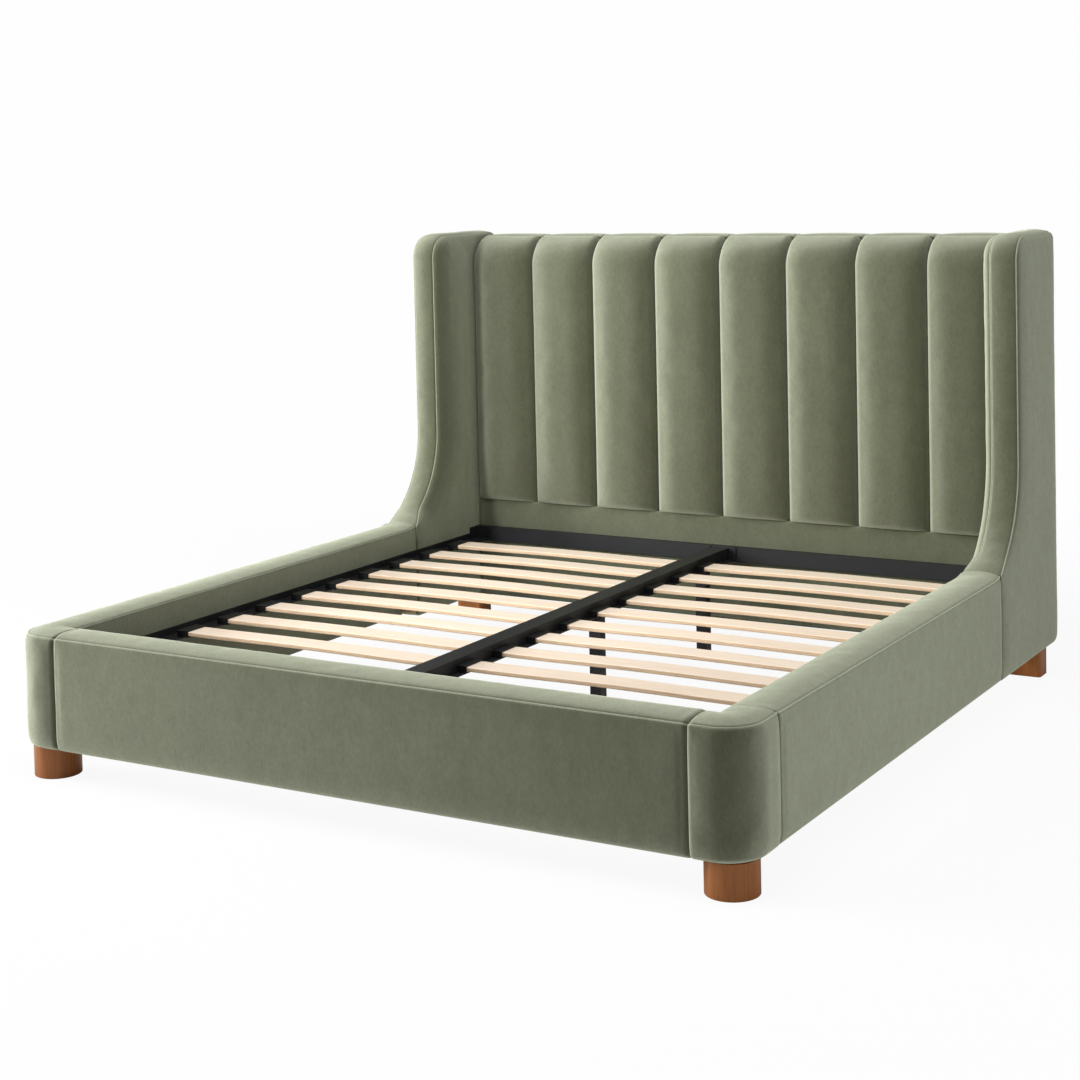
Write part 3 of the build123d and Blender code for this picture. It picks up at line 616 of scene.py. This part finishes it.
# Rails, footboard and corners
def edge_section(inner_low=True, crown=CROWN, power=RAIL_POWER):
    """Section of a padded edge, as rows (kind, a, b).

    out and in: height, offset from the face. top: share of the way across, height.
    mid: distance from the outer face, height.
    """
    pts = []
    r = BOTTOM_R
    for k in range(9):
        a = math.radians(90 * k / 8)
        pts.append(("out", BASE_Z + r - r * math.cos(a), -(BOTTOM_IN + r - r * math.sin(a))))
    low = BASE_Z + r
    drops = [0.0006, 0.0015, 0.003, 0.005, 0.008, 0.012, 0.018, 0.026, 0.036]
    heights = [low + (PIPE_Z - drops[-1] - low) * k / 15 for k in range(1, 15)]
    heights += [PIPE_Z - d for d in reversed(drops)]
    for z in heights:
        d = PIPE_Z - z
        out = FACE_SHOULDER * pillow(d, GROOVE_RUN) + FACE_BODY * pillow(d, FACE_BODY_RUN)
        pts.append(("out", z, out - FACE_IN))
    pts.append(("out", PIPE_Z, -FACE_IN))
    for k in range(1, 28):
        v = spread(k, 28)
        d = min(v, 1 - v) * RAIL_W
        rise = TOP_SHOULDER * pillow(d, GROOVE_RUN) + TOP_BODY * pillow(d, TOP_BODY_RUN)
        rise += crown * (1 - abs(2 * v - 1) ** power)
        pts.append(("top", v, PIPE_Z - TOP_SEAM + rise))
    for drop, recess in ((0.001, LINING_IN), (0.0025, 0.0024), (0.005, 0.0010), (0.009, 0.0002)):
        pts.append(("in", PIPE_Z - drop, recess))
    bottom = LINING_Z if inner_low else BASE_Z
    for k in range(1, 11):
        pts.append(("in", PIPE_Z - 0.009 + (bottom - PIPE_Z + 0.009) * k / 10, 0.0))
    if inner_low:
        pts.append(("mid", DEEP, LINING_Z))
        pts.append(("mid", DEEP, BASE_Z))
    return pts


def edge_ring(o, i, normal, section, drop_out, drop_top, bulge, seed):
    """Place the section between outer point o and inner point i (XY vectors)."""
    ring = []
    d = (i - o).normalized()
    start = o - normal * (FACE_IN + drop_out)
    end = i - d * LINING_IN
    for kind, a, b in section:
        if kind == "out":
            fill = pillow(PIPE_Z - a, FACE_EASE) * pillow(a - BASE_Z, FACE_EASE)
            p = o + normal * (b - drop_out + bulge * fill)
            z = a
        elif kind == "top":
            p = start + (end - start) * a
            z = b - drop_top
        elif kind == "in":
            p = i - d * b
            z = a - (drop_top if a > PIPE_Z - 0.0015 else 0)
        else:
            p = o + d * a
            z = b
        q = Vector((p.x, p.y, z))
        if kind == "out" and a > BASE_Z + 0.02:
            calm = pillow(PIPE_Z - a, CALM_RUN) * pillow(a - BASE_Z, CALM_RUN)
            swell = ripple(q, FACE_WAVES, seed, seed + 3) * calm
            q += Vector((normal.x, normal.y, 0)) * swell
        if kind == "top":
            q.z += ripple(q, TOP_WAVES, seed + 5, seed + 7)
        ring.append(q)
    return ring


def stations(length, step, end):
    """Distances along a piece, closer together near both ends."""
    near = [end * (k / 10) ** 1.6 for k in range(11)]
    mid_n = max(2, int((length - 2 * end) / step))
    mid = [end + (length - 2 * end) * k / mid_n for k in range(1, mid_n)]
    return near + mid + [length - d for d in reversed(near)]


def edge_pad(label, node, path, section, seed):
    """One padded edge with its two runs of piping.

    path holds (outer point, inner point, normal, drop of the face, drop of the top, bulge).
    """
    rings = []
    outer = []
    inner = []
    for o, i, n, out, top, bulge in path:
        rings.append(edge_ring(o, i, n, section, out, top, bulge, seed))
        p = o - n * (PIPE_IN + out)
        outer.append(Vector((p.x, p.y, PIPE_Z + PIPE_UP - top)))
        p = i - (i - o).normalized() * INNER_PIPE_IN
        inner.append(Vector((p.x, p.y, PIPE_Z - INNER_PIPE_DOWN - top)))
    verts, faces = loft(rings)
    ob = make_object(label.replace("PART", "upholstery"), verts, faces, VELVET)
    unseen = [k for k, row in enumerate(section) if row[0] in ("in", "mid")]
    hidden = [ring[k] for ring in rings for k in unseen]
    low = [ring[k] for ring in rings for k in range(5)]
    add_pad(ob, [node], outer + inner + rings[0] + rings[-1] + hidden + low)
    tube(label.replace("PART", "piping"), outer, PIPE_R, WELT_LIT)
    tube(label.replace("PART", "inner_piping"), inner, INNER_PIPE_R, WELT_LIT)


RAIL_SECTION = edge_section()
FOOT_SECTION = edge_section(crown=FOOT_CROWN, power=FOOT_POWER)
CORNER_SECTION = edge_section(inner_low=False)
SIDES = ((1, "right"), (-1, "left"))

# Footboard
foot_len = 2 * SEAM_X - GAP
path = []
for s in stations(foot_len, STEP, END_RUN):
    x = -foot_len / 2 + s
    rec = FRONT_RECESS * (1 - pillow(min(s, foot_len - s), END))
    path.append((Vector((x, FOOT_Y)), Vector((x, INNER_FOOT_Y)), Vector((0, -1)),
                 rec, rec * TOP_SHARE, FACE_BULGE))
edge_pad("footboard_PART", "footboard_pad", path, FOOT_SECTION, 1.0)

# Side rails
rail_len = WING_SEAM_Y - SIDE_SEAM_Y - GAP
for side, hand in SIDES:
    path = []
    for s in stations(rail_len, STEP, END_RUN):
        y = SIDE_SEAM_Y + GAP / 2 + s
        rec = SIDE_RECESS * (1 - pillow(min(s, rail_len - s), END))
        lift = max(0.0, JOIN - rail_len + s) ** 2 / (2 * JOIN_R)
        y += JOIN_LAP * smooth01((s - rail_len + LAP_RUN) / LAP_RUN)
        path.append((Vector((side * HALF_W, y)), Vector((side * INNER_X, y)), Vector((side, 0)),
                     rec, -lift, FACE_BULGE))
    edge_pad(f"side_rail_PART_{hand}", f"side_rail_pad_{hand}", path, RAIL_SECTION, 2.0 + side)


# Front corners
def corner_path():
    """Stations round the right corner: outer and inner point, normal, way to each seam."""
    centre = Vector((HALF_W - CORNER_R, FOOT_Y + CORNER_R))
    inner = Vector((INNER_X, INNER_FOOT_Y))
    x0 = SEAM_X + GAP / 2
    y1 = SIDE_SEAM_Y - GAP / 2
    front = centre.x - x0
    flank = y1 - centre.y
    out = []
    for k in range(14):
        t = (k / 14) ** 1.5
        out.append((Vector((x0 + front * t, FOOT_Y)),
                    Vector((x0 + (INNER_X - x0) * t, INNER_FOOT_Y)),
                    Vector((0, -1)), front * t, 1.0))
    for k in range(27):
        a = math.radians(90 * k / 26)
        n = Vector((math.sin(a), -math.cos(a)))
        out.append((centre + n * CORNER_R, inner + n * INNER_CORNER_R, n, 1.0, 1.0))
    for k in range(1, 17):
        t = 1 - (1 - k / 16) ** 1.5
        out.append((Vector((HALF_W, centre.y + flank * t)),
                    Vector((INNER_X, INNER_FOOT_Y + (y1 - INNER_FOOT_Y) * t)),
                    Vector((1, 0)), 1.0, flank * (1 - t)))
    return out


for side, hand in SIDES:
    flip = Vector((side, 1))
    path = []
    for o, i, n, to_front, to_side in corner_path():
        rec_front = FRONT_RECESS * (1 - pillow(to_front, END))
        rec_side = SIDE_RECESS * (1 - pillow(to_side, END))
        bulge = FACE_BULGE + CORNER_BULGE * pillow(min(to_front, to_side), CORNER_BULGE_RUN)
        path.append((o * flip, i * flip, n * flip,
                     rec_front + rec_side, rec_front * TOP_SHARE, bulge))
    edge_pad(f"front_corner_PART_{hand}", f"front_corner_pad_{hand}", path, CORNER_SECTION,
             4.0 + side)


# Wings
def blend(a, b, t):
    return tuple(x + (y - x) * t for x, y in zip(a, b))


def wing_stations():
    """Round the piping line of a wing: (point, normal, sizes, inset limit, has piping)."""
    out = []
    sweep_y = WING_FRONT_Y - WING_SWEEP_R
    across = WING_SWEEP_R - WING_FRONT_Y + WING_SEAM_Y
    sweep_z = RAIL_TOP + math.sqrt(WING_SWEEP_R**2 - across**2)
    sweep_r = WING_SWEEP_R + CROWN
    start = -math.acos((WING_SEAM_Y + GAP - sweep_y) / sweep_r)
    corner = (WING_SEAM_Y + GAP, sweep_z + sweep_r * math.sin(start) + JOIN**2 / (2 * JOIN_R))
    front = WING_FRONT_Y + CROWN
    top = WING_TOP - CROWN
    turn = WING_TOP_R - CROWN

    # Up the seam
    height = corner[1] - BASE_Z
    for s in stations(height, WING_STEP, END_RUN)[:-1]:
        t = max(0.0, 1 - s / TOE_R)
        lean = math.sqrt(1 - t * t)
        limit = min(max(s, TOE_R), height - s) * INSET_SHARE + LEAST_INSET
        place = (corner[0] + TOE_R * (1 - lean), BASE_Z + s)
        out.append((place, (-lean, -t), blend(SEAM, BASE, t), limit, False))
    # Along the sweep
    count = 46
    for k in range(count):
        share = (k / count) ** 1.35
        a = start * (1 - share)
        s = -start * sweep_r * share
        sizes = blend(SWEEP_START, BAND, smooth01(s / SWEEP_RUN))
        reach = sweep_r + max(0.0, JOIN - s) ** 2 / (2 * JOIN_R)
        y = max(WING_SEAM_Y + GAP, sweep_y + reach * math.cos(a))
        place = (y, sweep_z + reach * math.sin(a))
        out.append((place, (-math.cos(a), -math.sin(a)), sizes, s + LEAST_INSET, True))
    # Up the front and over the top
    run = top - turn - sweep_z
    y0 = WING_FRONT_Y + WING_TOP_R
    for k in range(48):
        out.append(((front, sweep_z + run * k / 48), (-1, 0), BAND, 1.0, True))
    for k in range(20):
        a = math.radians(180 - 90 * k / 20)
        place = (y0 + turn * math.cos(a), WING_TOP - WING_TOP_R + turn * math.sin(a))
        out.append((place, (math.cos(a), math.sin(a)), BAND, turn, True))
    y1 = HEAD_Y - WING_BACK_R
    for k in range(24):
        y = y0 + (y1 - y0) * k / 24
        sizes = blend(BAND, TOP_REAR, smooth01((y - TAPER_Y) / TAPER_RUN))
        out.append(((y, top), (0, 1), sizes, 1.0, True))
    for k in range(6):
        a = math.radians(90 - 90 * k / 6)
        r = WING_BACK_R - CROWN * (1 - k / 6)
        place = (y1 + r * math.cos(a), WING_TOP - WING_BACK_R + r * math.sin(a))
        sizes = blend(TOP_REAR, REAR, k / 6)
        out.append((place, (math.cos(a), math.sin(a)), sizes, r, False))
    # Down the back and along the base
    run = WING_TOP - WING_BACK_R - BASE_Z - WING_HEEL_R
    heel = (HEAD_Y - WING_HEEL_R, BASE_Z + WING_HEEL_R)
    for k in range(60):
        out.append(((HEAD_Y, WING_TOP - WING_BACK_R - run * k / 60), (1, 0), REAR, 1.0, False))
    for k in range(8):
        a = math.radians(-90 * k / 8)
        place = (heel[0] + WING_HEEL_R * math.cos(a), heel[1] + WING_HEEL_R * math.sin(a))
        sizes = blend(REAR, BASE, k / 8)
        out.append((place, (math.cos(a), math.sin(a)), sizes, WING_HEEL_R, False))
    length = HEAD_Y - WING_HEEL_R - corner[0] - TOE_R
    for k in range(34):
        s = length * k / 34
        limit = (length - s + TOE_R) * INSET_SHARE
        out.append(((heel[0] - s, BASE_Z), (0, -1), BASE, limit, False))
    return out


def wing_profile(sizes):
    """Across a wing from its outer to its inner panel: (x, offset along the outward normal).

    Points 5 and 21 lie under the piping, and those of the crown between them.
    """
    crown, outer_x, outer_n, inner_x, inner_n = sizes
    pts = []
    for k in range(6):
        a = math.radians(90 * k / 5)
        sunk = SUNK * (k == 5) * (crown > 0)
        pts.append((WING_EDGE - outer_x * (1 - math.cos(a)), -outer_n * (1 - math.sin(a)) - sunk))
    x0 = WING_EDGE - outer_x
    x1 = INNER_X + inner_x
    for k in range(1, 16):
        v = spread(k, 16)
        d = min(v, 1 - v) * (x0 - x1)
        shoulder = pillow(d, GROOVE_RUN)
        belly = 1 - abs(2 * v - 1) ** WING_POWER
        rise = SHOULDER_SHARE * shoulder + (1 - SHOULDER_SHARE) * belly
        groove = GROOVE * (1 - shoulder) * (crown > 0)
        pts.append((x0 + (x1 - x0) * v, crown * rise - groove))
    for k in range(13):
        a = math.radians(90 * (k / 12) ** 1.35)
        sunk = SUNK * (k == 0) * (crown > 0)
        pts.append((INNER_X + inner_x * (1 - math.sin(a)), -inner_n * (1 - math.cos(a)) - sunk))
    return pts


def outer_panel(p, d):
    """How far out the outer panel lies at p = (y, z), at distance d from its rim."""
    swell = ripple((1.0, p[0], p[1]), WING_WAVES, 6, 7) * smooth01(d / CALM_RUN)
    rise = RIM_RISE * smooth01(d / RIM_RUN) + WING_RISE * smooth01(d / WING_RUN)
    return WING_EDGE + rise + swell


def inner_panel(p, d):
    """The same for the inner panel, flat beside the channels and below the tops of the rails."""
    free = smooth01((CROWN_Y - 0.010 - p[0]) / 0.03) * smooth01((p[1] - PIPE_Z + 0.02) / 0.04)
    fold = FOLD * noise.noise(Vector((p[0] / FOLD_W, p[1] / FOLD_H, 3.0)))
    return INNER_X - (INNER_RISE * smooth01(d / INNER_RUN) + fold * smooth01(d / 0.03)) * free


wing = wing_stations()
for side, hand in SIDES:
    rings = []
    outer_pipe = []
    inner_pipe = []
    for (y, z), n, sizes, limit, piped in wing:
        ring = []
        for x, off in wing_profile(sizes):
            d = max(off, -limit)
            ring.append(Vector((side * x, y + n[0] * d, z + n[1] * d)))
        if piped:
            for k in range(8, 20):
                swell = ripple(ring[k], WING_TOP_WAVES, 8.0 + side)
                ring[k] += Vector((0, n[0], n[1])) * swell
            seat = (y - n[0] * PIPE_UP, z - n[1] * PIPE_UP)
            outer_pipe.append(Vector((side * (WING_EDGE - sizes[1]), *seat)))
            inner_pipe.append(Vector((side * (INNER_X + sizes[3]), *seat)))
        rings.append(ring)
    width = len(rings[0])
    verts = [v for ring in rings for v in ring]
    faces = []
    for i in range(len(rings)):
        a = i * width
        b = ((i + 1) % len(rings)) * width
        faces += [(a + j, a + j + 1, b + j + 1, b + j) for j in range(width - 1)]
    for column, flat, place in ((0, WING_EDGE, outer_panel), (width - 1, INNER_X, inner_panel)):
        rim = [(ring[column].y, ring[column].z) for ring in rings]
        points, distances, triangles = fill_outline(rim, PANEL_STEP, PANEL_MARGIN)
        first = len(verts)
        for p, d in zip(points, distances):
            verts.append(Vector((side * (place(p, d) if d > 1e-6 else flat), p[0], p[1])))
        faces += [tuple(first + k for k in t) for t in triangles]
    ob = make_object(f"wing_upholstery_{hand}", verts, faces, VELVET)
    rear = [v for v in verts if v.y > CROWN_Y and abs(v.x) < INNER_X + 0.01]
    seams = [v for ring in rings for v in (ring[5], ring[21], ring[-1])]
    ends = [v for v in seams if v.z < PIPE_Z or v.y > HEAD_Y - 0.02]
    add_pad(ob, [f"wing_pad_{hand}"], outer_pipe + inner_pipe + rear + ends)
    tube(f"wing_outer_piping_{hand}", outer_pipe, PIPE_R, WELT_LIT)
    tube(f"wing_inner_piping_{hand}", inner_pipe, PIPE_R, WELT_LIT)


# Headboard channels, upright and then rolled back to a straight seam
def channel_path():
    """Stations up a channel: (back y, back z, outward direction, way from the lower end, turn)."""
    out = []
    up = ROLL_Z - CHANNEL_Z
    ways = [END_RUN * (k / 10) ** 1.5 for k in range(11)]
    ways += [END_RUN + (up - END_RUN) * k / 56 for k in range(1, 57)]
    for s in ways:
        out.append((PLY_Y, CHANNEL_Z + s, (-1.0, 0.0), s, 0.0))
    for k in range(1, 27):
        a = math.pi / 2 * (1 - (1 - k / 26) ** 1.3)
        c, s = math.cos(a), math.sin(a)
        out.append((ROLL_Y - ROLL_R * c, ROLL_Z + ROLL_R * s, (-c, s), 1.0, a))
    return out


def channel_rise(v, way, turn):
    """Height of a channel above its back, at share v of the way from its middle to its seam.

    It is full on the upright part, flatter over the roll, and drawn in at both ends.
    """
    d = (1 - abs(v)) * PITCH / 2
    full = CHANNEL_SEAM + SHOULDER * pillow(d, SHOULDER_RUN) + BELLY * (1 - abs(v) ** BELLY_POWER)
    flat = ROLL_SEAM + ROLL_RISE * pillow(d, ROLL_RUN)
    rise = full + (flat - full) * smooth01(turn - ROLL_START)
    drawn = LOW_SHARE + (1 - LOW_SHARE) * pillow(way, LOW_RUN)
    rise = LOW_RISE + (rise - LOW_RISE) * drawn
    if turn > 0:
        to_end = (math.pi / 2 - turn) * (ROLL_R + ROLL_SEAM + ROLL_RISE)
        rise -= TUCK * (1 - pillow(to_end, TUCK_RUN))
    return rise


path = channel_path()
across = [-math.cos(math.pi * k / 36) for k in range(37)]
half = PITCH / 2 - CHANNEL_GAP
for c in range(CHANNELS):
    middle = -INNER_X + (c + 0.5) * PITCH
    rings = []
    for y, z, n, way, turn in path:
        ring = []
        for v in across:
            h = channel_rise(v, way, turn)
            p = Vector((middle + v * half, y + n[0] * h, z + n[1] * h))
            calm = pillow((1 - abs(v)) * half, CHANNEL_CALM_RUN)
            swell = ripple(p, CHANNEL_WAVES, 11.0 + c, 17.0 + c) * calm
            p += Vector((0, n[0], n[1])) * swell
            ring.append(p)
        ring.append(Vector((middle + half, y, z)))
        ring.append(Vector((middle - half, y, z)))
        rings.append(ring)
    verts, faces = loft(rings)
    ob = make_object(f"headboard_channel_cover_{c + 1}", verts, faces, VELVET)
    last = len(across) - 1
    edges = [ring[k] for ring in rings for k in (0, 1, last - 1, last, last + 1, last + 2)]
    add_pad(ob, [f"headboard_channel_{c + 1}"], edges + rings[0] + rings[-1])

# Plain band under the channels
band_top = CHANNEL_Z - BAND_GAP
rings = []
for s in stations(2 * INNER_X - GAP, BAND_STEP, END_RUN):
    x = -INNER_X + GAP / 2 + s
    ring = []
    for k in range(27):
        z = BAND_BASE + (band_top - BAND_BASE) * spread(k, 26)
        edge = min(pillow(z - BAND_BASE, BAND_RUN), pillow(CHANNEL_Z - z, BAND_RUN))
        q = Vector((x, BAND_Y + BAND_IN * (1 - edge), z))
        q.y += ripple(q, BAND_WAVES, 21.0) * edge
        ring.append(q)
    ring.append(Vector((x, PLY_Y, band_top)))
    ring.append(Vector((x, PLY_Y, BAND_BASE)))
    rings.append(ring)
verts, faces = loft(rings)
ob = make_object("headboard_band_cover", verts, faces, VELVET)
edges = [ring[k] for ring in rings for k in (0, 26, 27, 28)]
add_pad(ob, ["headboard_lower_band"], edges + rings[0] + rings[-1])

# Back panel, with a cap that is puffed behind each channel
r = BACK_R
cap = []
for k in range(9):
    a = math.radians(180 - 90 * k / 8)
    cap.append((CAP_Y + 3 * r * (1 + math.cos(a)),
                HEAD_TOP - 1.6 * r * (1 - math.sin(a))))
for k in range(1, 6):
    cap.append((ROLL_Y + 3 * r + (HEAD_Y - ROLL_Y - 4 * r) * k / 6, HEAD_TOP))
for k in range(9):
    a = math.radians(90 - 90 * k / 8)
    cap.append((HEAD_Y - r + r * math.cos(a), HEAD_TOP - r + r * math.sin(a)))
back = [(HEAD_Y, HEAD_TOP - r - (HEAD_TOP - 2 * r - BASE_Z) * k / 48) for k in range(1, 48)]
for k in range(9):
    a = math.radians(-90 * k / 8)
    back.append((HEAD_Y - r + r * math.cos(a), BASE_Z + r + r * math.sin(a)))
hidden = [(BAND_Y, BASE_Z), (BAND_Y, BAND_BASE), (BACK_PLY_Y, BAND_BASE),
          (BACK_PLY_Y, BACK_PLY_TOP), (CAP_Y, BACK_PLY_TOP)]
rings = []
for c in range(CHANNELS):
    for k in range(15 if c == CHANNELS - 1 else 14):
        v = 2 * spread(k, 14) - 1
        x = -INNER_X + (c + 0.5 + v / 2) * PITCH
        x = max(-INNER_X + GAP / 2, min(INNER_X - GAP / 2, x))
        way = INNER_X - abs(x)
        to_seam = (1 - abs(v)) * PITCH / 2
        dip = CAP_DIP * abs(v) ** CAP_POWER + CAP_GROOVE * (1 - pillow(to_seam, GROOVE_RUN))
        ring = [Vector((x, y, z - dip)) for y, z in cap]
        for y, z in back:
            on_rear = y > HEAD_Y - 0.002
            q = Vector((x, y - BACK_IN * (1 - pillow(way, BACK_RUN)) * on_rear, z))
            q.y += ripple(q, BACK_WAVES, 25.0) * pillow(way, BACK_CALM_RUN) * on_rear
            ring.append(q)
        ring += [Vector((x, y, z)) for y, z in hidden]
        rings.append(ring)
verts, faces = loft(rings)
ob = make_object("headboard_back_cover", verts, faces, VELVET)
edges = [v for ring in rings for k, v in enumerate(ring)
         if k < len(cap) or v.z < BASE_Z + 0.02 or k >= len(ring) - len(hidden)]
add_pad(ob, ["headboard_back_panel"], edges + rings[0] + rings[-1])

puff_pads()

# Stage: a pale floor that keeps a faint shadow near the bed and melts into the world
WHITE = (0.99, 0.99, 0.99, 1)
FLOOR = 30
NEAR = 1.8
FAR = 4.0
NEAR_GLOW = 0.93
ROOM_LIGHT = 0.33
scene = bpy.context.scene
floor_mat, tree, bsdf = new_mat("stage_floor")
bsdf.inputs["Base Color"].default_value = (0.90, 0.90, 0.90, 1)
bsdf.inputs["Roughness"].default_value = 0.9
bsdf.inputs["Specular IOR Level"].default_value = 0.1
ray = tree.nodes.new("ShaderNodeLightPath")
glow = tree.nodes.new("ShaderNodeEmission")
glow.inputs["Color"].default_value = WHITE
length = tree.nodes.new("ShaderNodeVectorMath")
length.operation = "LENGTH"
tree.links.new(coords(tree), length.inputs[0])
reach = tree.nodes.new("ShaderNodeMapRange")
reach.inputs["From Min"].default_value = NEAR
reach.inputs["From Max"].default_value = FAR
reach.inputs["To Min"].default_value = NEAR_GLOW
reach.inputs["To Max"].default_value = 1.0
tree.links.new(length.outputs["Value"], reach.inputs["Value"])
share = tree.nodes.new("ShaderNodeMath")
share.operation = "MULTIPLY"
tree.links.new(ray.outputs["Is Camera Ray"], share.inputs[0])
tree.links.new(reach.outputs[0], share.inputs[1])
mix = tree.nodes.new("ShaderNodeMixShader")
tree.links.new(share.outputs[0], mix.inputs[0])
tree.links.new(bsdf.outputs[0], mix.inputs[1])
tree.links.new(glow.outputs[0], mix.inputs[2])
out = [n for n in tree.nodes if n.bl_idname == "ShaderNodeOutputMaterial"][0]
tree.links.new(mix.outputs[0], out.inputs[0])
mesh = bpy.data.meshes.new("stage_floor")
corners = [(-FLOOR, -FLOOR, 0), (FLOOR, -FLOOR, 0), (FLOOR, FLOOR, 0), (-FLOOR, FLOOR, 0)]
mesh.from_pydata(corners, [], [(0, 1, 2, 3)])
floor = bpy.data.objects.new("stage_floor", mesh)
mesh.materials.append(floor_mat)
scene.collection.objects.link(floor)

world = bpy.data.worlds.new("studio")
scene.world = world
world.use_nodes = True
tree = world.node_tree
tree.nodes.clear()
world_out = tree.nodes.new("ShaderNodeOutputWorld")
room = tree.nodes.new("ShaderNodeBackground")
room.inputs["Color"].default_value = (1.0, 1.0, 1.0, 1)
room.inputs["Strength"].default_value = ROOM_LIGHT
sky = tree.nodes.new("ShaderNodeBackground")
sky.inputs["Color"].default_value = WHITE
ray = tree.nodes.new("ShaderNodeLightPath")
mix = tree.nodes.new("ShaderNodeMixShader")
tree.links.new(ray.outputs["Is Camera Ray"], mix.inputs[0])
tree.links.new(room.outputs[0], mix.inputs[1])
tree.links.new(sky.outputs[0], mix.inputs[2])
tree.links.new(mix.outputs[0], world_out.inputs[0])


def lamp(name, kind, place, target, power):
    """A light at place that points to target."""
    data = bpy.data.lights.new(name, kind)
    data.energy = power
    ob = bpy.data.objects.new(name, data)
    scene.collection.objects.link(ob)
    ob.location = place
    ob.visible_camera = False
    ob.rotation_euler = (Vector(target) - Vector(place)).to_track_quat("-Z", "Y").to_euler()
    return data


def area(name, place, target, size, power):
    data = lamp(name, "AREA", place, target, power)
    data.shape = "DISK"
    data.size = size


def spot(name, place, target, cone, radius, power):
    data = lamp(name, "SPOT", place, target, power)
    data.spot_size = math.radians(cone)
    data.spot_blend = 0.4
    data.shadow_soft_size = radius


area("key", (-3.9, -2.9, 3.8), (0, 0.2, 0.5), 2.2, 102)
area("far_left", (-7.2, -3.0, 2.2), (0, 0.3, 0.7), 2.4, 590)
area("right_back", (2.6, 2.2, 3.0), (0.5, -0.3, 0.4), 2.4, 14)
area("side", (3.3, -0.9, 0.35), (1.0, 0.2, 0.3), 1.2, 14)
area("top", (0.6, -1.4, 4.0), (0.5, -0.8, 0.3), 2.0, 66)
spot("front", (-1.94, -2.4, 1.75), (0.14, 1.0, 0.92), 47, 0.3, 310)

# Camera, solved from the photo's seams and edges, with its focal length and the height of its
# optical centre in pixels of the photo
AZ, TILT, ROLL = 0.5323, 0.05, -0.0228
CAMERA_PLACE = (2.9414, -5.1508, 1.6424)
SENSOR_MM = 36
FRAME_PX = 1080
FOCAL_PX = 2041.45
CENTRE_PX = 261.58
ahead = Vector((-math.sin(AZ) * math.cos(TILT), math.cos(AZ) * math.cos(TILT), -math.sin(TILT)))
level = Vector((math.cos(AZ), math.sin(AZ), 0))
above = level.cross(ahead)
right = math.cos(ROLL) * level + math.sin(ROLL) * above
up = -math.sin(ROLL) * level + math.cos(ROLL) * above
cam_data = bpy.data.cameras.new("camera")
cam = bpy.data.objects.new("camera", cam_data)
scene.collection.objects.link(cam)
turned = Matrix((right, up, -ahead)).transposed().to_4x4()
cam.matrix_world = Matrix.Translation(Vector(CAMERA_PLACE)) @ turned
cam_data.sensor_width = SENSOR_MM
cam_data.lens = FOCAL_PX / FRAME_PX * SENSOR_MM
cam_data.shift_y = (CENTRE_PX - FRAME_PX / 2) / FRAME_PX
scene.camera = cam
scene.view_settings.view_transform = "Standard"
